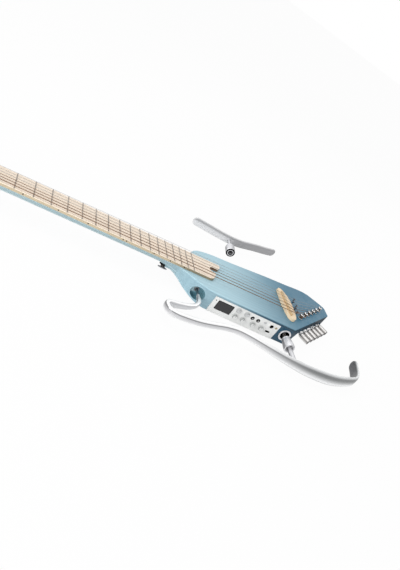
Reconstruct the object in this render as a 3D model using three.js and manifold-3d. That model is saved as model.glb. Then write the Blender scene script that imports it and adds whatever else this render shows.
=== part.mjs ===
// A headless travel guitar: solid body, long neck, clip-on bout frame and leg rest, tuners at the tail.
// Millimetres. X runs from the nut to the tail, Y to the treble side, Z out of the front.
// The origin is on the back face, on the neck's centre line, under the end of the scale.
import * as THREE from "three";
import { mergeVertices } from "three/addons/utils/BufferGeometryUtils.js";
import Module from "manifold-3d";

const wasm = await Module();
wasm.setup();

// Fits that several pieces share
const gap = 0.3; // left between two faces that touch
const mergeShare = 0.001; // share of that gap within which two corners are one
const overrun = 6; // how far a cutter passes the face that it opens
const roundSides = 24; // sides of a turned piece
const smallSides = 12; // sides of a thin shaft or a small hole
const cornerSteps = 4; // steps round one corner of a lofted section
const bandSides = 12; // corners of the frame's and the leg rest's section
const capStopShares = [0.06, 0.29, 0.66]; // where rings stand in a rounded end, as shares of its length

// Scale, fingerboard and neck
const scaleLength = 648;
const fretCount = 20;
const nutWidth = 44;
const twelfthFretWidth = 50.3;
const boardThickness = 5;
const boardBassLap = 64; // from the seam between neck and body to the end of the bass tongue
const boardTrebleLap = 88; // from the seam to the end of the treble tongue
const notchWidth = 14; // between the two tongues
const notchDepth = 17;
const notchOffset = 3; // towards the treble side
const tongueShare = 0.6; // of the board's half width, where the rounding of a tongue starts
const fretHeight = 0.9;
const fretWidth = 2.2;
const fretSteps = 2; // steps over a quarter of a fret's crown
const fretInset = 0.4; // from the board's edge to the fret's end
const nutLength = 5;
const nutRise = 1.2; // how far the nut stands above the lowest string's foot
const headLength = 36; // from the nut to the end of the head
const headDrop = 9; // how far the head's face lies under the board's seat
const headWidth = 40;
const headRound = 12;
const headLap = 9; // how far the head runs on under the neck
const neckNutBelly = 22.8; // height of the neck's underside over the back plane, at the nut
const neckTwelfthBelly = 22.5;
const heelBelly = 14.2; // the same, where the neck meets the body
const heelLength = 40; // the stretch over which the underside drops to that
const neckCornerShare = 0.96; // share of the half width that the rounded back takes
const neckDepthShare = 0.94; // share of the depth that it takes
const neckPinch = 1.18; // 1 leaves the back elliptical, more draws it in at the shoulders
const neckEdge = 1; // rounding along the board's seat
const tenonLength = 46;
const tenonWidth = 34;
const tenonFloor = 21; // height of the tenon's floor over the back plane

// Truss rod in the neck
const trussWidth = 6;
const trussHeight = 9;
const trussFrontClear = 14; // from the nut
const trussRearClear = 12; // from the tenon's end

// Body
const bodyThickness = 38;
const tailReach = 130.4; // from the end of the scale to the body's rear end
const bassReach = 66; // from the centre line to the tail's bass corner
const trebleReach = 86.8; // from the centre line to the widest place of the treble side
const bodyEdge = 2; // rounding along the edges
const shoulderEnd = 63; // from the seam to where the straight bass side starts
const bassShoulderReach = 57.5; // half width there
const bassCornerReach = 9; // from the end of the scale to the tail's bass corner
const heelRound = 45; // rounding of the underside's corners where it would rise to the front face
const heelCorner = 18.5; // the same rounding at the seam

// Tail edge and the tuners behind it
const tailAngle = THREE.MathUtils.degToRad(39.9);
const tailDistance = 56.5; // from the origin square to the tail edge
const tunerCount = 6;
const tunerPitch = 17.7;
const firstPostPlace = 16.8; // along the tail edge from the foot of that square
const postInset = 19; // from the tail edge
const shelfThickness = 16; // wood that the posts pass
const bayDepth = 40; // the bay under the shelf, from the tail edge
const bayBassWall = 2.5; // where the bay's roof ends on the bass side
const bayRamp = 20; // the sloped wall beyond it
const bayTrebleRoom = 10.7; // from the last post to the bay's far wall
const postRadius = 3;
const postPin = 1.5;
const postPinLength = 1.4;
const waistRadius = 2.5;
const waistHeight = 5.7;
const capRadius = 3.7;
const capHeight = 1.6;
const collarRadius = 4.7;
const collarHeight = 1;
const gearTeeth = 12;
const gearRadius = 3.7;
const gearRoot = 3;
const toothShares = [0.2, 0.4, 0.6, 0.8]; // of a tooth's pitch: root, crest, crest, root
const wormRadius = 2.2;
const gearHeight = 4.4;
const plateThickness = 0.8;
const plateMargin = 6; // beyond the outer posts and beside them
const earThickness = 2.4;
const earWidth = 8;
const earSpread = 10; // from the post's axis to each bearing ear
const earDrop = 3.6; // how far an ear reaches under the worm's axis
const shaftTail = 2; // how far the worm shaft passes its inner ear
const knobStandoff = 1.2; // from the tail edge to the knob's root ring
const rootRingRadius = 4;
const rootRingLength = 2.2;
const knobRadius = 5;
const knobLength = 21;
const knobEdge = 0.8;

// Strings, nut to tuner
const stringDiameters = [1.3, 1.06, 0.86, 0.7, 0.56, 0.46];
const nutSpread = 36;
const saddleSpread = 52;
const nutAction = 0.5; // under a string at the first fret's height
const saddleAction = 3.6;
const stringSides = 6;
const windingTurns = 1.6;
const windingSteps = 16; // in each turn
const windingSpace = 0.45; // between neighbouring turns
const anchorTail = 3; // how far a string passes the head anchor

// Head anchor
const anchorLength = 12;
const anchorWidth = 42;
const anchorRise = 4; // above the strings' centres
const anchorSetback = 12; // from the nut to the anchor

// Bridge, saddle and the pickup strip under it
const bridgeLength = 88;
const bridgeWidth = 24;
const bridgeHeight = 6;
const bridgeFront = -4; // the bridge's front edge from the end of the scale
const bridgeSlack = 1.5; // the middle of its length from the centre line
const bridgeSides = 48; // corners of its outline
const saddleLength = 66;
const saddleThickness = 3;
const saddleDepth = 4; // seated in the bridge
const saddlePlace = 4; // behind the end of the scale
const saddleSlant = THREE.MathUtils.degToRad(3);
const stripHeight = 1;

// Small pins that guide the strings down to the posts
const guidePlaces = [0, 30, 29, 35, 30.5, 36.5]; // from the end of the scale, none for the first string
const guideStem = 1;
const guideHead = 2.5;
const guideHeadHeight = 1.3;
const guideStringRise = 4; // height of the strings' undersides over the body there
const guideDepth = 7;

// Control panel in the bass side
const panelStart = 69.5; // from the seam to the panel's front end
const panelLength = 138.6;
const panelBack = 19.9; // from the panel's rear end to the end of the scale
const panelHeight = 30.5;
const panelFoot = 2.9; // over the back plane
const panelThickness = 2.5;
const panelProud = 0.6;
const panelCorner = 1.5;
const screenWidthShare = 0.2294; // of the panel's length
const screenHeight = 18.8;
const screenProud = 0.2;
const screenDepth = 3.6;
const controlKnobRadius = 5.1;
const controlKnobHeight = 5.2;
const lowKnobHeight = 3;
const controlShaft = 1.6;
const ringButtonRadius = 2.5;
const ringButtonHeight = 1.6;
const smallButtonRadius = 2.2;
const buttonFlange = 0.7; // how much wider a button is behind the panel
const buttonFlangeHeight = 1;
const jackRadius = 3.2;
const jackWall = 1.2;
const jackFlange = 5.4;
const jackFlangeHeight = 1;
const portWidth = 9;
const portHeight = 3.2;
const portWall = 0.5;
const portDepth = 6.5;
const panelScrewRadius = 2.2;
const panelScrewShaft = 1.1;
const panelScrewHead = 0.9;
const panelScrewLength = 7;
const indicatorRadius = 0.9;
const boardGap = 5.5; // from the panel's back to the circuit board
const boardPlate = 1.6;
const boardMargin = 3.5; // from the panel's long edges to the pocket's walls
const portRoom = 1.75; // from the charge port to the end of the board's pocket
const indicatorRoom = 0.17; // from the indicator to its start
const pocketDepth = 46; // of the battery's pocket, from the side's face
const pocketInset = 22; // from the panel's ends to the battery's pocket
const batteryRoom = 9.3; // in the pocket, at each end of the battery
const batteryWidth = 24;
const batteryHeight = 15;
const coverThickness = 2;
const coverMargin = 5; // the cover's ledge round the battery's opening
const coverFront = 5; // from the board to the battery's opening

// Bout frame on the bass side
const frameHeight = 19; // its middle plane over the back plane
const frameSteps = 60;
const frameSearchSteps = 260; // along the route, to find where the rear rod meets it
const frameLength = 424; // along X
const frameDepth = 87; // along Y
const frameShallow = -55.2; // the front rod's tip from the centre line
const bandFront = 12.4; // height of the band at the hairpin
const bandWide = 24.2; // where it is widest
const bandTail = 21.6; // and at its tail end
const bandThickness = 8;
const bandBox = 0.6; // 1 leaves its section oval, less makes it boxier
const bandGrowShares = [0.44, 0.78]; // shares of its length where it starts and stops widening
const rodTipRadius = 2.6;
const rodTipShare = 0.03; // share of the frame's length that the round tip takes
const rodGrowShare = 0.15; // share by which the round rod has become the band
const rodRadius = 3.8;
const rearRodPlace = -1.2; // from the end of the scale
const frontRodLead = 27.5; // from the front rod to the panel's front end
const guidePinRadius = 1.9;
const guidePinReach = 2; // how far the pin stands in the bush
const sleeveLength = 25.5;
const sleeveRadius = 8.1;
const sleeveRearRadius = 9.05;
const sleeveBore = 6.2; // the open end round the rod
const sleeveBoreDepth = 4;
const sleeveTaperShare = 0.67; // of the sleeve's length
const sleeveStart = 9; // from the body's side to the sleeve
const frameRodShort = 4; // how far the rod stays inside the sleeve's nose

// Sockets that take the sleeves, and the front bush
const socketFlange = 12;
const socketFlangeThickness = 2.4;
const socketProud = 1; // at the socket's middle
const socketBore = 8.7;
const socketWall = 1.6;
const socketDepth = 15;
const studRadius = 3;
const studHole = 1.4;
const studShort = 3; // how far the stud stays under the socket's face
const recessRadius = 12.5;
const recessFloor = 38.5; // from the centre line
const bushRadius = 4.6;
const bushBore = 2.4;
const bushDepth = 20;
const bushProud = 0.6;

// Leg rest off the treble side
const legLean = THREE.MathUtils.degToRad(8.3);
const legPull = 76; // from its seat, along its stem
const legSocketPlace = -87; // from the end of the scale
const legSocketReach = 69; // from the centre line
const legSteps = 22;
const legLength = 224.5;
const legRise = 40.5;
const legBand = 18.4;
const legBandThickness = 6;
const legSleeveLength = 34;
const legStem = 21; // from the sleeve to the bar
const legRodShort = 12.6; // how far the stem stays inside the sleeve's nose
const legSleeveRadius = 8.3;
const legStemRadius = 3.2;

// Strap button under the heel
const strapSetback = 17; // from the seam to the button
const strapFelt = 7.6;
const strapFeltThickness = 2.4;
const strapButtonRadius = 8.6;
const strapButtonHeight = 7;
const strapWaist = 3.6;
const strapRim = 1.8;
const strapScrew = 1.8;
const strapScrewDepth = 7;

// Sizes worked out from the ones above
const nutPlace = -scaleLength;
const topFace = bodyThickness;
const boardFoot = topFace + gap;
const boardFace = boardFoot + boardThickness;
const fretTop = boardFace + fretHeight;
const panelFront = -(panelBack + panelLength);
const seam = panelFront - panelStart;
const neckLength = seam - nutPlace;
const bodyLength = tailReach - seam;
const frontRodPlace = panelFront - frontRodLead;
const strapPlace = seam - strapSetback;
const screenWidth = panelLength * screenWidthShare;
const batteryLength = panelLength - 2 * (pocketInset + batteryRoom);
const splay = (twelfthFretWidth - nutWidth) / (scaleLength / 2);
const panelFloor = panelThickness - panelProud;
const boardFaceDepth = panelFloor + boardGap;
const boardBackDepth = boardFaceDepth + boardPlate;
const shelfFloor = topFace - shelfThickness;
const plateTop = shelfFloor - gap;
const plateFloor = plateTop - plateThickness;
const wormHeight = plateFloor - gap - wormRadius;
const wormOffset = gearRadius + wormRadius + gap;
const waistFloor = topFace + gap + collarHeight;
const halfBoard = (x) => (nutWidth + splay * (x - nutPlace)) / 2;

// Turns a closed mesh into a solid
function solidOf(geometry) {
  const bare = geometry.clone();
  ["normal", "uv"].forEach((name) => bare.deleteAttribute(name));
  const merged = mergeVertices(bare, gap * mergeShare);
  return new wasm.Manifold(
    new wasm.Mesh({
      numProp: 3,
      vertProperties: merged.attributes.position.array,
      triVerts: new Uint32Array(merged.index.array),
    }),
  );
}

// Turns a solid back into a mesh's geometry
function geometryOf(solid) {
  const mesh = solid.getMesh();
  const geometry = new THREE.BufferGeometry();
  geometry.setAttribute("position", new THREE.BufferAttribute(mesh.vertProperties, 3));
  geometry.setIndex(new THREE.BufferAttribute(mesh.triVerts, 1));
  geometry.computeVertexNormals();
  return geometry;
}

function cut(base, tools) {
  return geometryOf(tools.reduce((left, tool) => left.subtract(solidOf(tool)), solidOf(base)));
}

function join(pieces) {
  const [first, ...rest] = pieces.map(solidOf);
  return geometryOf(rest.reduce((whole, piece) => whole.add(piece), first));
}

// A closed skin over rings of points, each ring with as many points as the next
function loft(rings) {
  const count = rings[0].length;
  const middle = (ring) =>
    ring.reduce((sum, point) => sum.add(point), new THREE.Vector3()).divideScalar(count);
  const points = [...rings.flat(), middle(rings[0]), middle(rings[rings.length - 1])];
  const firstHub = points.length - 2;
  const lastHub = points.length - 1;
  const lastRing = (rings.length - 1) * count;
  const index = [];
  for (let i = 0; i < count; i += 1) {
    const next = (i + 1) % count;
    for (let ring = 0; ring < lastRing; ring += count) {
      index.push(ring + i, ring + next, ring + count + i);
      index.push(ring + next, ring + count + next, ring + count + i);
    }
    index.push(firstHub, next, i);
    index.push(lastHub, lastRing + i, lastRing + next);
  }
  if (signedVolume(points, index) < 0) index.reverse();
  const geometry = new THREE.BufferGeometry().setFromPoints(points);
  geometry.setIndex(index);
  geometry.computeVertexNormals();
  return geometry;
}

function signedVolume(points, index) {
  let sum = 0;
  for (let i = 0; i < index.length; i += 3) {
    const [a, b, c] = [points[index[i]], points[index[i + 1]], points[index[i + 2]]];
    sum += a.dot(new THREE.Vector3().crossVectors(b, c));
  }
  return sum;
}

// A section across X: rounded top edges, and a wide rounding below
function crossSection(x, low, high, floor, roof, cornerWidth, cornerHeight, edge, pinch = 1) {
  const corners = [
    [low + cornerWidth, floor + cornerHeight, cornerWidth, cornerHeight, pinch],
    [high - cornerWidth, floor + cornerHeight, cornerWidth, cornerHeight, pinch],
    [high - edge, roof - edge, edge, edge, 1],
    [low + edge, roof - edge, edge, edge, 1],
  ];
  const bent = (value, power) => Math.sign(value) * Math.abs(value) ** power;
  return corners.flatMap(([y, z, width, height, power], turn) =>
    Array.from({ length: cornerSteps + 1 }, (_, i) => {
      const angle = Math.PI + (turn + i / cornerSteps) * (Math.PI / 2);
      const across = width * bent(Math.cos(angle), power);
      return new THREE.Vector3(x, y + across, z + height * bent(Math.sin(angle), power));
    }),
  );
}

// A piece turned about Z, from pairs of radius and height
function turned(profile, sides = roundSides) {
  const outline = profile.map(([radius, height]) => new THREE.Vector2(radius, height));
  return new THREE.LatheGeometry(outline, sides).rotateX(Math.PI / 2);
}

function rod(radius, low, high, sides = roundSides) {
  return turned([[0, low], [radius, low], [radius, high], [0, high]], sides);
}

// Turns a piece made about Z so that its height runs along +Y, or along -Y
const alongY = (geometry) => geometry.rotateX(-Math.PI / 2);
const againstY = (geometry) => geometry.rotateX(Math.PI / 2);

function block(x0, x1, y0, y1, z0, z1) {
  const box = new THREE.BoxGeometry(x1 - x0, y1 - y0, z1 - z0);
  return box.translate((x0 + x1) / 2, (y0 + y1) / 2, (z0 + z1) / 2);
}

function slab(shape, low, high, curveSegments = roundSides / 4) {
  const options = { depth: high - low, bevelEnabled: false, curveSegments };
  return new THREE.ExtrudeGeometry(shape, options).translate(0, 0, low);
}

function roundedRectangle(x0, x1, y0, y1, radius, target = new THREE.Shape()) {
  target.absarc(x1 - radius, y0 + radius, radius, -Math.PI / 2, 0);
  target.absarc(x1 - radius, y1 - radius, radius, 0, Math.PI / 2);
  target.absarc(x0 + radius, y1 - radius, radius, Math.PI / 2, Math.PI);
  target.absarc(x0 + radius, y0 + radius, radius, Math.PI, (3 * Math.PI) / 2);
  target.closePath();
  return target;
}

function circleHole(x, y, radius) {
  return new THREE.Path().absarc(x, y, radius, 0, 2 * Math.PI, true);
}

// A tube through points, square to its route at both ends
function tube(points, radius, sides) {
  const tangents = points.map((point, i) => {
    const before = points[Math.max(i - 1, 0)];
    const after = points[Math.min(i + 1, points.length - 1)];
    return after.clone().sub(before).normalize();
  });
  let side = new THREE.Vector3(0, 0, 1).cross(tangents[0]).normalize();
  const rings = points.map((point, i) => {
    side = side.clone().addScaledVector(tangents[i], -side.dot(tangents[i])).normalize();
    const up = new THREE.Vector3().crossVectors(tangents[i], side);
    return Array.from({ length: sides }, (_, k) => {
      const angle = (k / sides) * 2 * Math.PI;
      return point
        .clone()
        .addScaledVector(side, radius * Math.cos(angle))
        .addScaledVector(up, radius * Math.sin(angle));
    });
  });
  return loft(rings);
}

// Places along a route, closer together over the rounded cap at each end that asks for one
function stopsAlong(count, startCap, endCap) {
  const inner = Array.from({ length: count + 1 }, (_, i) =>
    THREE.MathUtils.lerp(startCap, 1 - endCap, i / count),
  );
  const start = startCap > 0 ? capStopShares.map((share) => share * startCap) : [];
  const end = capStopShares.map((share) => 1 - share * endCap).reverse();
  return [...start, ...inner, ...end];
}

// How much of its full size a rounded cap has at a stop
function capSize(share, startCap, endCap) {
  const into = Math.min(startCap > 0 ? share / startCap : 1, (1 - share) / endCap, 1);
  return Math.sqrt(1 - (1 - into) ** 2);
}

// A level band whose boxed oval section may change along its route
function band(route, stops, sectionAt) {
  const up = new THREE.Vector3(0, 0, 1);
  const bent = (value) => Math.sign(value) * Math.abs(value) ** bandBox;
  const rings = stops.map((stop) => {
    const point = route.getPointAt(stop);
    const side = new THREE.Vector3().crossVectors(up, route.getTangentAt(stop)).normalize();
    const { thickness, height } = sectionAt(stop);
    return Array.from({ length: bandSides }, (_, k) => {
      const angle = (k / bandSides) * 2 * Math.PI;
      return point
        .clone()
        .addScaledVector(side, (thickness / 2) * bent(Math.cos(angle)))
        .addScaledVector(up, (height / 2) * bent(Math.sin(angle)));
    });
  });
  return loft(rings);
}

// Finishes
const finish = (color, roughness, metalness = 0) => ({ color, roughness, metalness });
const bluePaint = finish(0x86b2c2, 0.32);
const maple = finish(0xf0dfc6, 0.5);
const bone = finish(0xf4efe2, 0.45);
const silver = finish(0xd4d6d8, 0.28, 1);
const steel = finish(0xb9bcc0, 0.3, 1);
const darkSteel = finish(0x4a4c50, 0.4, 1);
const whitePlastic = finish(0xe9ebea, 0.4);
const greyPlastic = finish(0x9a9d9f, 0.5);
const blackPlastic = finish(0x1c1d1f, 0.5);
const screenGlass = finish(0x2c3a40, 0.12);
const boardGreen = finish(0x1f6b45, 0.6);
const batteryWrap = finish(0x2f4f8a, 0.5);
const brass = finish(0xb9935a, 0.35, 1);
const feltBlack = finish(0x17181a, 0.95);
const piezoCopper = finish(0xb87a4a, 0.4, 1);

const guitar = new THREE.Group();

function place(name, geometry, look, parent = guitar) {
  const mesh = new THREE.Mesh(geometry, new THREE.MeshStandardMaterial(look));
  mesh.name = name;
  parent.add(mesh);
  return mesh;
}

// The tail frame: X along the tail edge to the treble side, Y into the body
const tail = new THREE.Group();
tail.position.set(tailDistance * Math.sin(tailAngle), -tailDistance * Math.cos(tailAngle), 0);
tail.rotation.z = tailAngle;
guitar.add(tail);

// The side frame: X along the straight bass side from the panel's front end, Y into the body
const shoulderPlace = seam + shoulderEnd;
const sideSlope = (bassShoulderReach - bassReach) / (bassCornerReach - shoulderPlace);
const bassSide = (x) => -bassShoulderReach + sideSlope * (x - shoulderPlace);
const side = new THREE.Group();
side.position.set(panelFront, bassSide(panelFront), 0);
side.rotation.z = Math.atan(sideSlope);
guitar.add(side);
guitar.updateMatrixWorld(true);

const inTail = (geometry) => geometry.applyMatrix4(tail.matrixWorld);
const inSide = (geometry) => geometry.applyMatrix4(side.matrixWorld);
const postPlaces = Array.from({ length: tunerCount }, (_, i) => firstPostPlace + i * tunerPitch);

// Neck: rounded back, tenon, head and the slot for the truss rod
function neckBelly(x) {
  const twelfth = nutPlace + scaleLength / 2;
  const heelStart = seam - heelLength;
  const slope = (neckTwelfthBelly - neckNutBelly) / (twelfth - nutPlace);
  const straight = neckNutBelly + slope * (x - nutPlace);
  const share = THREE.MathUtils.clamp((x - heelStart) / heelLength, 0, 1);
  const end = neckNutBelly + slope * (seam - nutPlace);
  return straight - (end - heelBelly) * share * share;
}

function neckSection(x) {
  const half = halfBoard(x);
  const floor = neckBelly(x);
  const heelShare = THREE.MathUtils.clamp((x - (seam - heelLength)) / heelLength, 0, 1) ** 2;
  const roundWidth = half * neckCornerShare;
  const roundHeight = (topFace - floor) * neckDepthShare;
  return crossSection(
    x,
    -half,
    half,
    floor,
    topFace,
    THREE.MathUtils.lerp(roundWidth, heelCorner, heelShare),
    THREE.MathUtils.lerp(roundHeight, heelCorner, heelShare),
    neckEdge,
    THREE.MathUtils.lerp(neckPinch, 1, heelShare),
  );
}

const neckStationShares = [0, 0.05, 0.2, 0.4, 0.6, 0.76, 0.84, 0.88, 0.92, 0.96, 1];
const neckBlank = loft(neckStationShares.map((share) => neckSection(nutPlace + share * neckLength)));
const headEnd = nutPlace - headLength;
const headFace = topFace - headDrop;
const headInner = nutPlace + headLap;
const headOutline = roundedRectangle(headEnd, headInner, -headWidth / 2, headWidth / 2, headRound);
const head = slab(headOutline, neckNutBelly - bodyEdge, headFace);
const tenonTop = topFace - gap;
const tenonEnd = seam + tenonLength;
const tenon = block(seam - heelLength / 2, tenonEnd, -tenonWidth / 2, tenonWidth / 2, tenonFloor, tenonTop);
const trussStart = nutPlace + trussFrontClear;
const trussEnd = tenonEnd - trussRearClear;
const trussFloor = topFace - gap - trussHeight;
const trussSlot = block(
  trussStart - gap,
  trussEnd + gap,
  -trussWidth / 2 - gap,
  trussWidth / 2 + gap,
  trussFloor - gap,
  topFace + overrun,
);
const strapSeat = neckBelly(strapPlace) + gap;
const strapFace = rod(strapFelt + gap, strapSeat - overrun, strapSeat).translate(strapPlace, 0, 0);
const strapHole = rod(strapScrew + gap, 0, strapSeat + strapScrewDepth, smallSides)
  .translate(strapPlace, 0, 0);
const headClearance = block(
  headEnd - overrun,
  nutPlace,
  -headWidth,
  headWidth,
  headFace,
  topFace + overrun,
);
place(
  "neck",
  cut(join([neckBlank, head, tenon]), [trussSlot, strapFace, strapHole, headClearance]),
  bluePaint,
);
place(
  "truss_rod",
  block(trussStart, trussEnd, -trussWidth / 2, trussWidth / 2, trussFloor, topFace - gap),
  darkSteel,
);

// Body: lofted blank, cut off at the tail, with its bays, pockets and bores
const bodyStationShares = [
  // along the body, bass side, treble side, underside over the back plane
  [0.025, 0.485, 0.317, 0.31],
  [0.056, 0.585, 0.363, 0.192],
  [0.084, 0.675, 0.455, 0.115],
  [0.1, 0.724, 0.559, 0.08],
  [0.123, 0.782, 0.628, 0.035],
  [0.145, 0.83, 0.664, 0.01],
  [0.176, 0.871, 0.7, 0],
  [0.229, 0, 0.74, 0],
  [0.343, 0, 0.774, 0],
  [0.438, 0, 0.822, 0],
  [0.586, 0, 0.899, 0],
  [0.728, 0, 0.948, 0],
  [0.809, 0, 0.991, 0],
  [0.859, 0, 1, 0],
  [0.898, 0, 0.968, 0],
  [0.935, 0, 0.885, 0],
  [0.978, 0, 0.775, 0],
  [1, 0, 0.695, 0],
];

function bodySection([place, bass, treble, belly]) {
  const x = seam + place * bodyLength;
  const low = x < shoulderPlace ? -bass * bassReach : bassSide(x);
  const floor = belly * bodyThickness;
  const softness = bodyEdge + heelRound * belly;
  return crossSection(x, low, treble * trebleReach, floor, topFace, softness, softness, bodyEdge);
}

const seamStart = neckSection(seam).map((point) => point.clone().setX(seam + gap));
const bodyBlank = loft([seamStart, ...bodyStationShares.map(bodySection)]);

// The bay under the tail shelf, as an outline along the tail edge
const bayTrebleWall = postPlaces[tunerCount - 1] + bayTrebleRoom;
const bayProfile = new THREE.Shape();
bayProfile.moveTo(bayBassWall - bayRamp - overrun, -overrun);
bayProfile.lineTo(bayTrebleWall, -overrun);
bayProfile.lineTo(bayTrebleWall, shelfFloor);
bayProfile.lineTo(bayBassWall, shelfFloor);
bayProfile.lineTo(bayBassWall - bayRamp, 0);
const tailCutter = block(-bodyLength, bodyLength, -bodyLength, 0, -overrun, topFace + overrun);
const bay = slab(bayProfile, -bayDepth, overrun).rotateX(Math.PI / 2);
const postBore = (t) =>
  rod(postRadius + gap, shelfFloor - overrun, topFace + overrun, smallSides).translate(t, postInset, 0);

// Where the controls sit on the panel: shares of its length from the front end, and of its height
const controlShares = {
  upperKnobs: [[0.369, 0.774], [0.491, 0.774]],
  lowerKnobs: [[0.369, 0.348], [0.488, 0.348], [0.642, 0.348], [0.772, 0.348]],
  ringButtons: [[0.592, 0.7], [0.678, 0.7]],
  smallButton: [0.779, 0.774],
  screen: [0.181, 0.547],
  jack: [0.887, 0.731],
  port: [0.89, 0.29],
  screw: [0.959, 0.74],
  indicator: [0.033, 0.777],
};
const onPanel = ([along, up]) => [along * panelLength, panelFoot + up * panelHeight];

// The electronics pocket behind the panel, and the battery's opening in the back
const [screwX, screwZ] = onPanel(controlShares.screw);
const screwBore = againstY(rod(panelScrewShaft + gap, -panelScrewLength, overrun, smallSides))
  .translate(screwX, 0, screwZ);
const pocketFloor = panelFoot + boardMargin;
const pocketRoof = panelFoot + panelHeight - boardMargin;
const panelSeat = block(
  -gap,
  panelLength + gap,
  -overrun,
  panelFloor + gap,
  panelFoot - gap,
  panelFoot + panelHeight + gap,
);
const [indicatorX] = onPanel(controlShares.indicator);
const [portX, portZ] = onPanel(controlShares.port);
const pocketStart = indicatorX - indicatorRadius - indicatorRoom;
const pocketEnd = portX + portWidth / 2 + portRoom;
const boardPocket = block(
  pocketStart,
  pocketEnd,
  0,
  boardBackDepth + gap,
  pocketFloor,
  pocketRoof,
);
const batteryFront = boardBackDepth + coverFront;
const batteryPocket = block(
  pocketInset,
  panelLength - pocketInset,
  0,
  pocketDepth,
  pocketFloor,
  pocketRoof,
);
const batteryDoor = block(
  pocketInset,
  panelLength - pocketInset,
  batteryFront,
  pocketDepth,
  -overrun,
  pocketRoof,
);
const coverSeat = block(
  pocketInset - coverMargin,
  panelLength - pocketInset + coverMargin,
  batteryFront - coverMargin,
  pocketDepth + coverMargin,
  -overrun,
  coverThickness + 2 * gap,
);

// Sockets for the bout frame and the leg rest, made about Z with their mouths up
const socketFloor = socketProud - socketDepth;
function socketShape() {
  const outer = socketBore + socketWall;
  return turned([
    [0, socketFloor - socketWall],
    [outer, socketFloor - socketWall],
    [outer, socketProud - socketFlangeThickness],
    [socketFlange, socketProud - socketFlangeThickness],
    [socketFlange, socketProud],
    [socketBore, socketProud],
    [socketBore, socketFloor],
    [studRadius, socketFloor],
    [studRadius, socketProud - studShort],
    [studHole, socketProud - studShort],
    [studHole, socketFloor],
    [0, socketFloor],
  ]);
}

function socketHole() {
  const outer = socketBore + socketWall + gap;
  const seat = socketProud - socketFlangeThickness - gap;
  return turned([
    [0, socketFloor - socketWall - gap],
    [outer, socketFloor - socketWall - gap],
    [outer, seat],
    [socketFlange + gap, seat],
    [socketFlange + gap, overrun],
    [0, overrun],
  ]);
}

const bassSocketFace = bassSide(rearRodPlace);
const intoBassSide = (geometry) =>
  againstY(geometry).translate(rearRodPlace, bassSocketFace, frameHeight);
const intoTrebleSide = (geometry) =>
  alongY(geometry).rotateZ(-legLean).translate(legSocketPlace, legSocketReach, frameHeight);
const recess = againstY(rod(recessRadius, recessFloor, bassReach + overrun))
  .translate(frontRodPlace, 0, frameHeight);
const bushHole = againstY(rod(bushRadius + gap, recessFloor - bushDepth - gap, recessFloor + overrun))
  .translate(frontRodPlace, 0, frameHeight);
const tenonPocket = block(
  seam - overrun,
  tenonEnd + gap,
  -tenonWidth / 2 - gap,
  tenonWidth / 2 + gap,
  tenonFloor - gap,
  topFace + overrun,
);

// Where the strings run
const saddleTopZ = (radius) => fretTop + saddleAction + radius;
const nutTopZ = (radius) => fretTop + nutAction + radius;
const strings = stringDiameters.map((diameter, i) => {
  const share = i / (tunerCount - 1) - 1 / 2;
  const radius = diameter / 2;
  const nutY = share * nutSpread;
  const saddleY = share * saddleSpread;
  const saddleX = saddlePlace - saddleY * Math.tan(saddleSlant);
  const saddle = new THREE.Vector3(saddleX, saddleY, saddleTopZ(radius));
  const nut = new THREE.Vector3(nutPlace, nutY, nutTopZ(radius));
  const slopeY = (saddleY - nutY) / (saddleX - nutPlace);
  const anchorX = nutPlace - anchorSetback - anchorLength - anchorTail;
  const anchor = new THREE.Vector3(anchorX, nutY + slopeY * (anchorX - nutPlace), nut.z);
  const post = new THREE.Vector3(postPlaces[i], postInset, 0).applyMatrix4(tail.matrixWorld);
  return { radius, anchor, nut, saddle, post };
});

strings.forEach((string, i) => {
  const windingRadius = waistRadius + gap + string.radius;
  const start = waistFloor + waistHeight - gap - string.radius;
  const drop = string.radius * 2 + windingSpace;
  const low = start - drop * windingTurns;
  if (i > 0) {
    const along = (guidePlaces[i] - string.saddle.x) / (string.post.x - string.saddle.x);
    const y = THREE.MathUtils.lerp(string.saddle.y, string.post.y, along);
    string.guide = new THREE.Vector3(guidePlaces[i], y, topFace + guideStringRise + string.radius);
  }
  const from = string.guide ?? string.saddle;
  const away = new THREE.Vector2(from.x - string.post.x, from.y - string.post.y);
  const lead = Math.acos(windingRadius / away.length());
  const steps = Math.round(windingTurns * windingSteps);
  string.winding = Array.from({ length: steps + 1 }, (_, k) => {
    const turn = (k / windingSteps) * 2 * Math.PI;
    const angle = away.angle() - lead - turn;
    const z = start + (low - start) * (k / steps);
    return new THREE.Vector3(
      string.post.x + windingRadius * Math.cos(angle),
      string.post.y + windingRadius * Math.sin(angle),
      z,
    );
  });
  const upperRoute = [string.anchor, string.nut, string.saddle, string.guide];
  string.route = [...upperRoute, ...string.winding].filter(Boolean);
});

const guideHole = (string) =>
  rod(guideStem + gap, topFace - guideDepth - gap, topFace + overrun, smallSides).translate(
    string.guide.x,
    string.guide.y + guideStem + gap + string.radius,
    0,
  );

place(
  "body",
  cut(bodyBlank, [
    inTail(tailCutter),
    inTail(bay),
    ...postPlaces.map((t) => inTail(postBore(t))),
    inSide(panelSeat),
    inSide(boardPocket),
    inSide(batteryPocket),
    inSide(batteryDoor),
    inSide(coverSeat),
    inSide(screwBore),
    intoBassSide(socketHole()),
    intoTrebleSide(socketHole()),
    recess,
    bushHole,
    tenonPocket,
    ...strings.filter((string) => string.guide).map(guideHole),
  ]),
  bluePaint,
);

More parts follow.
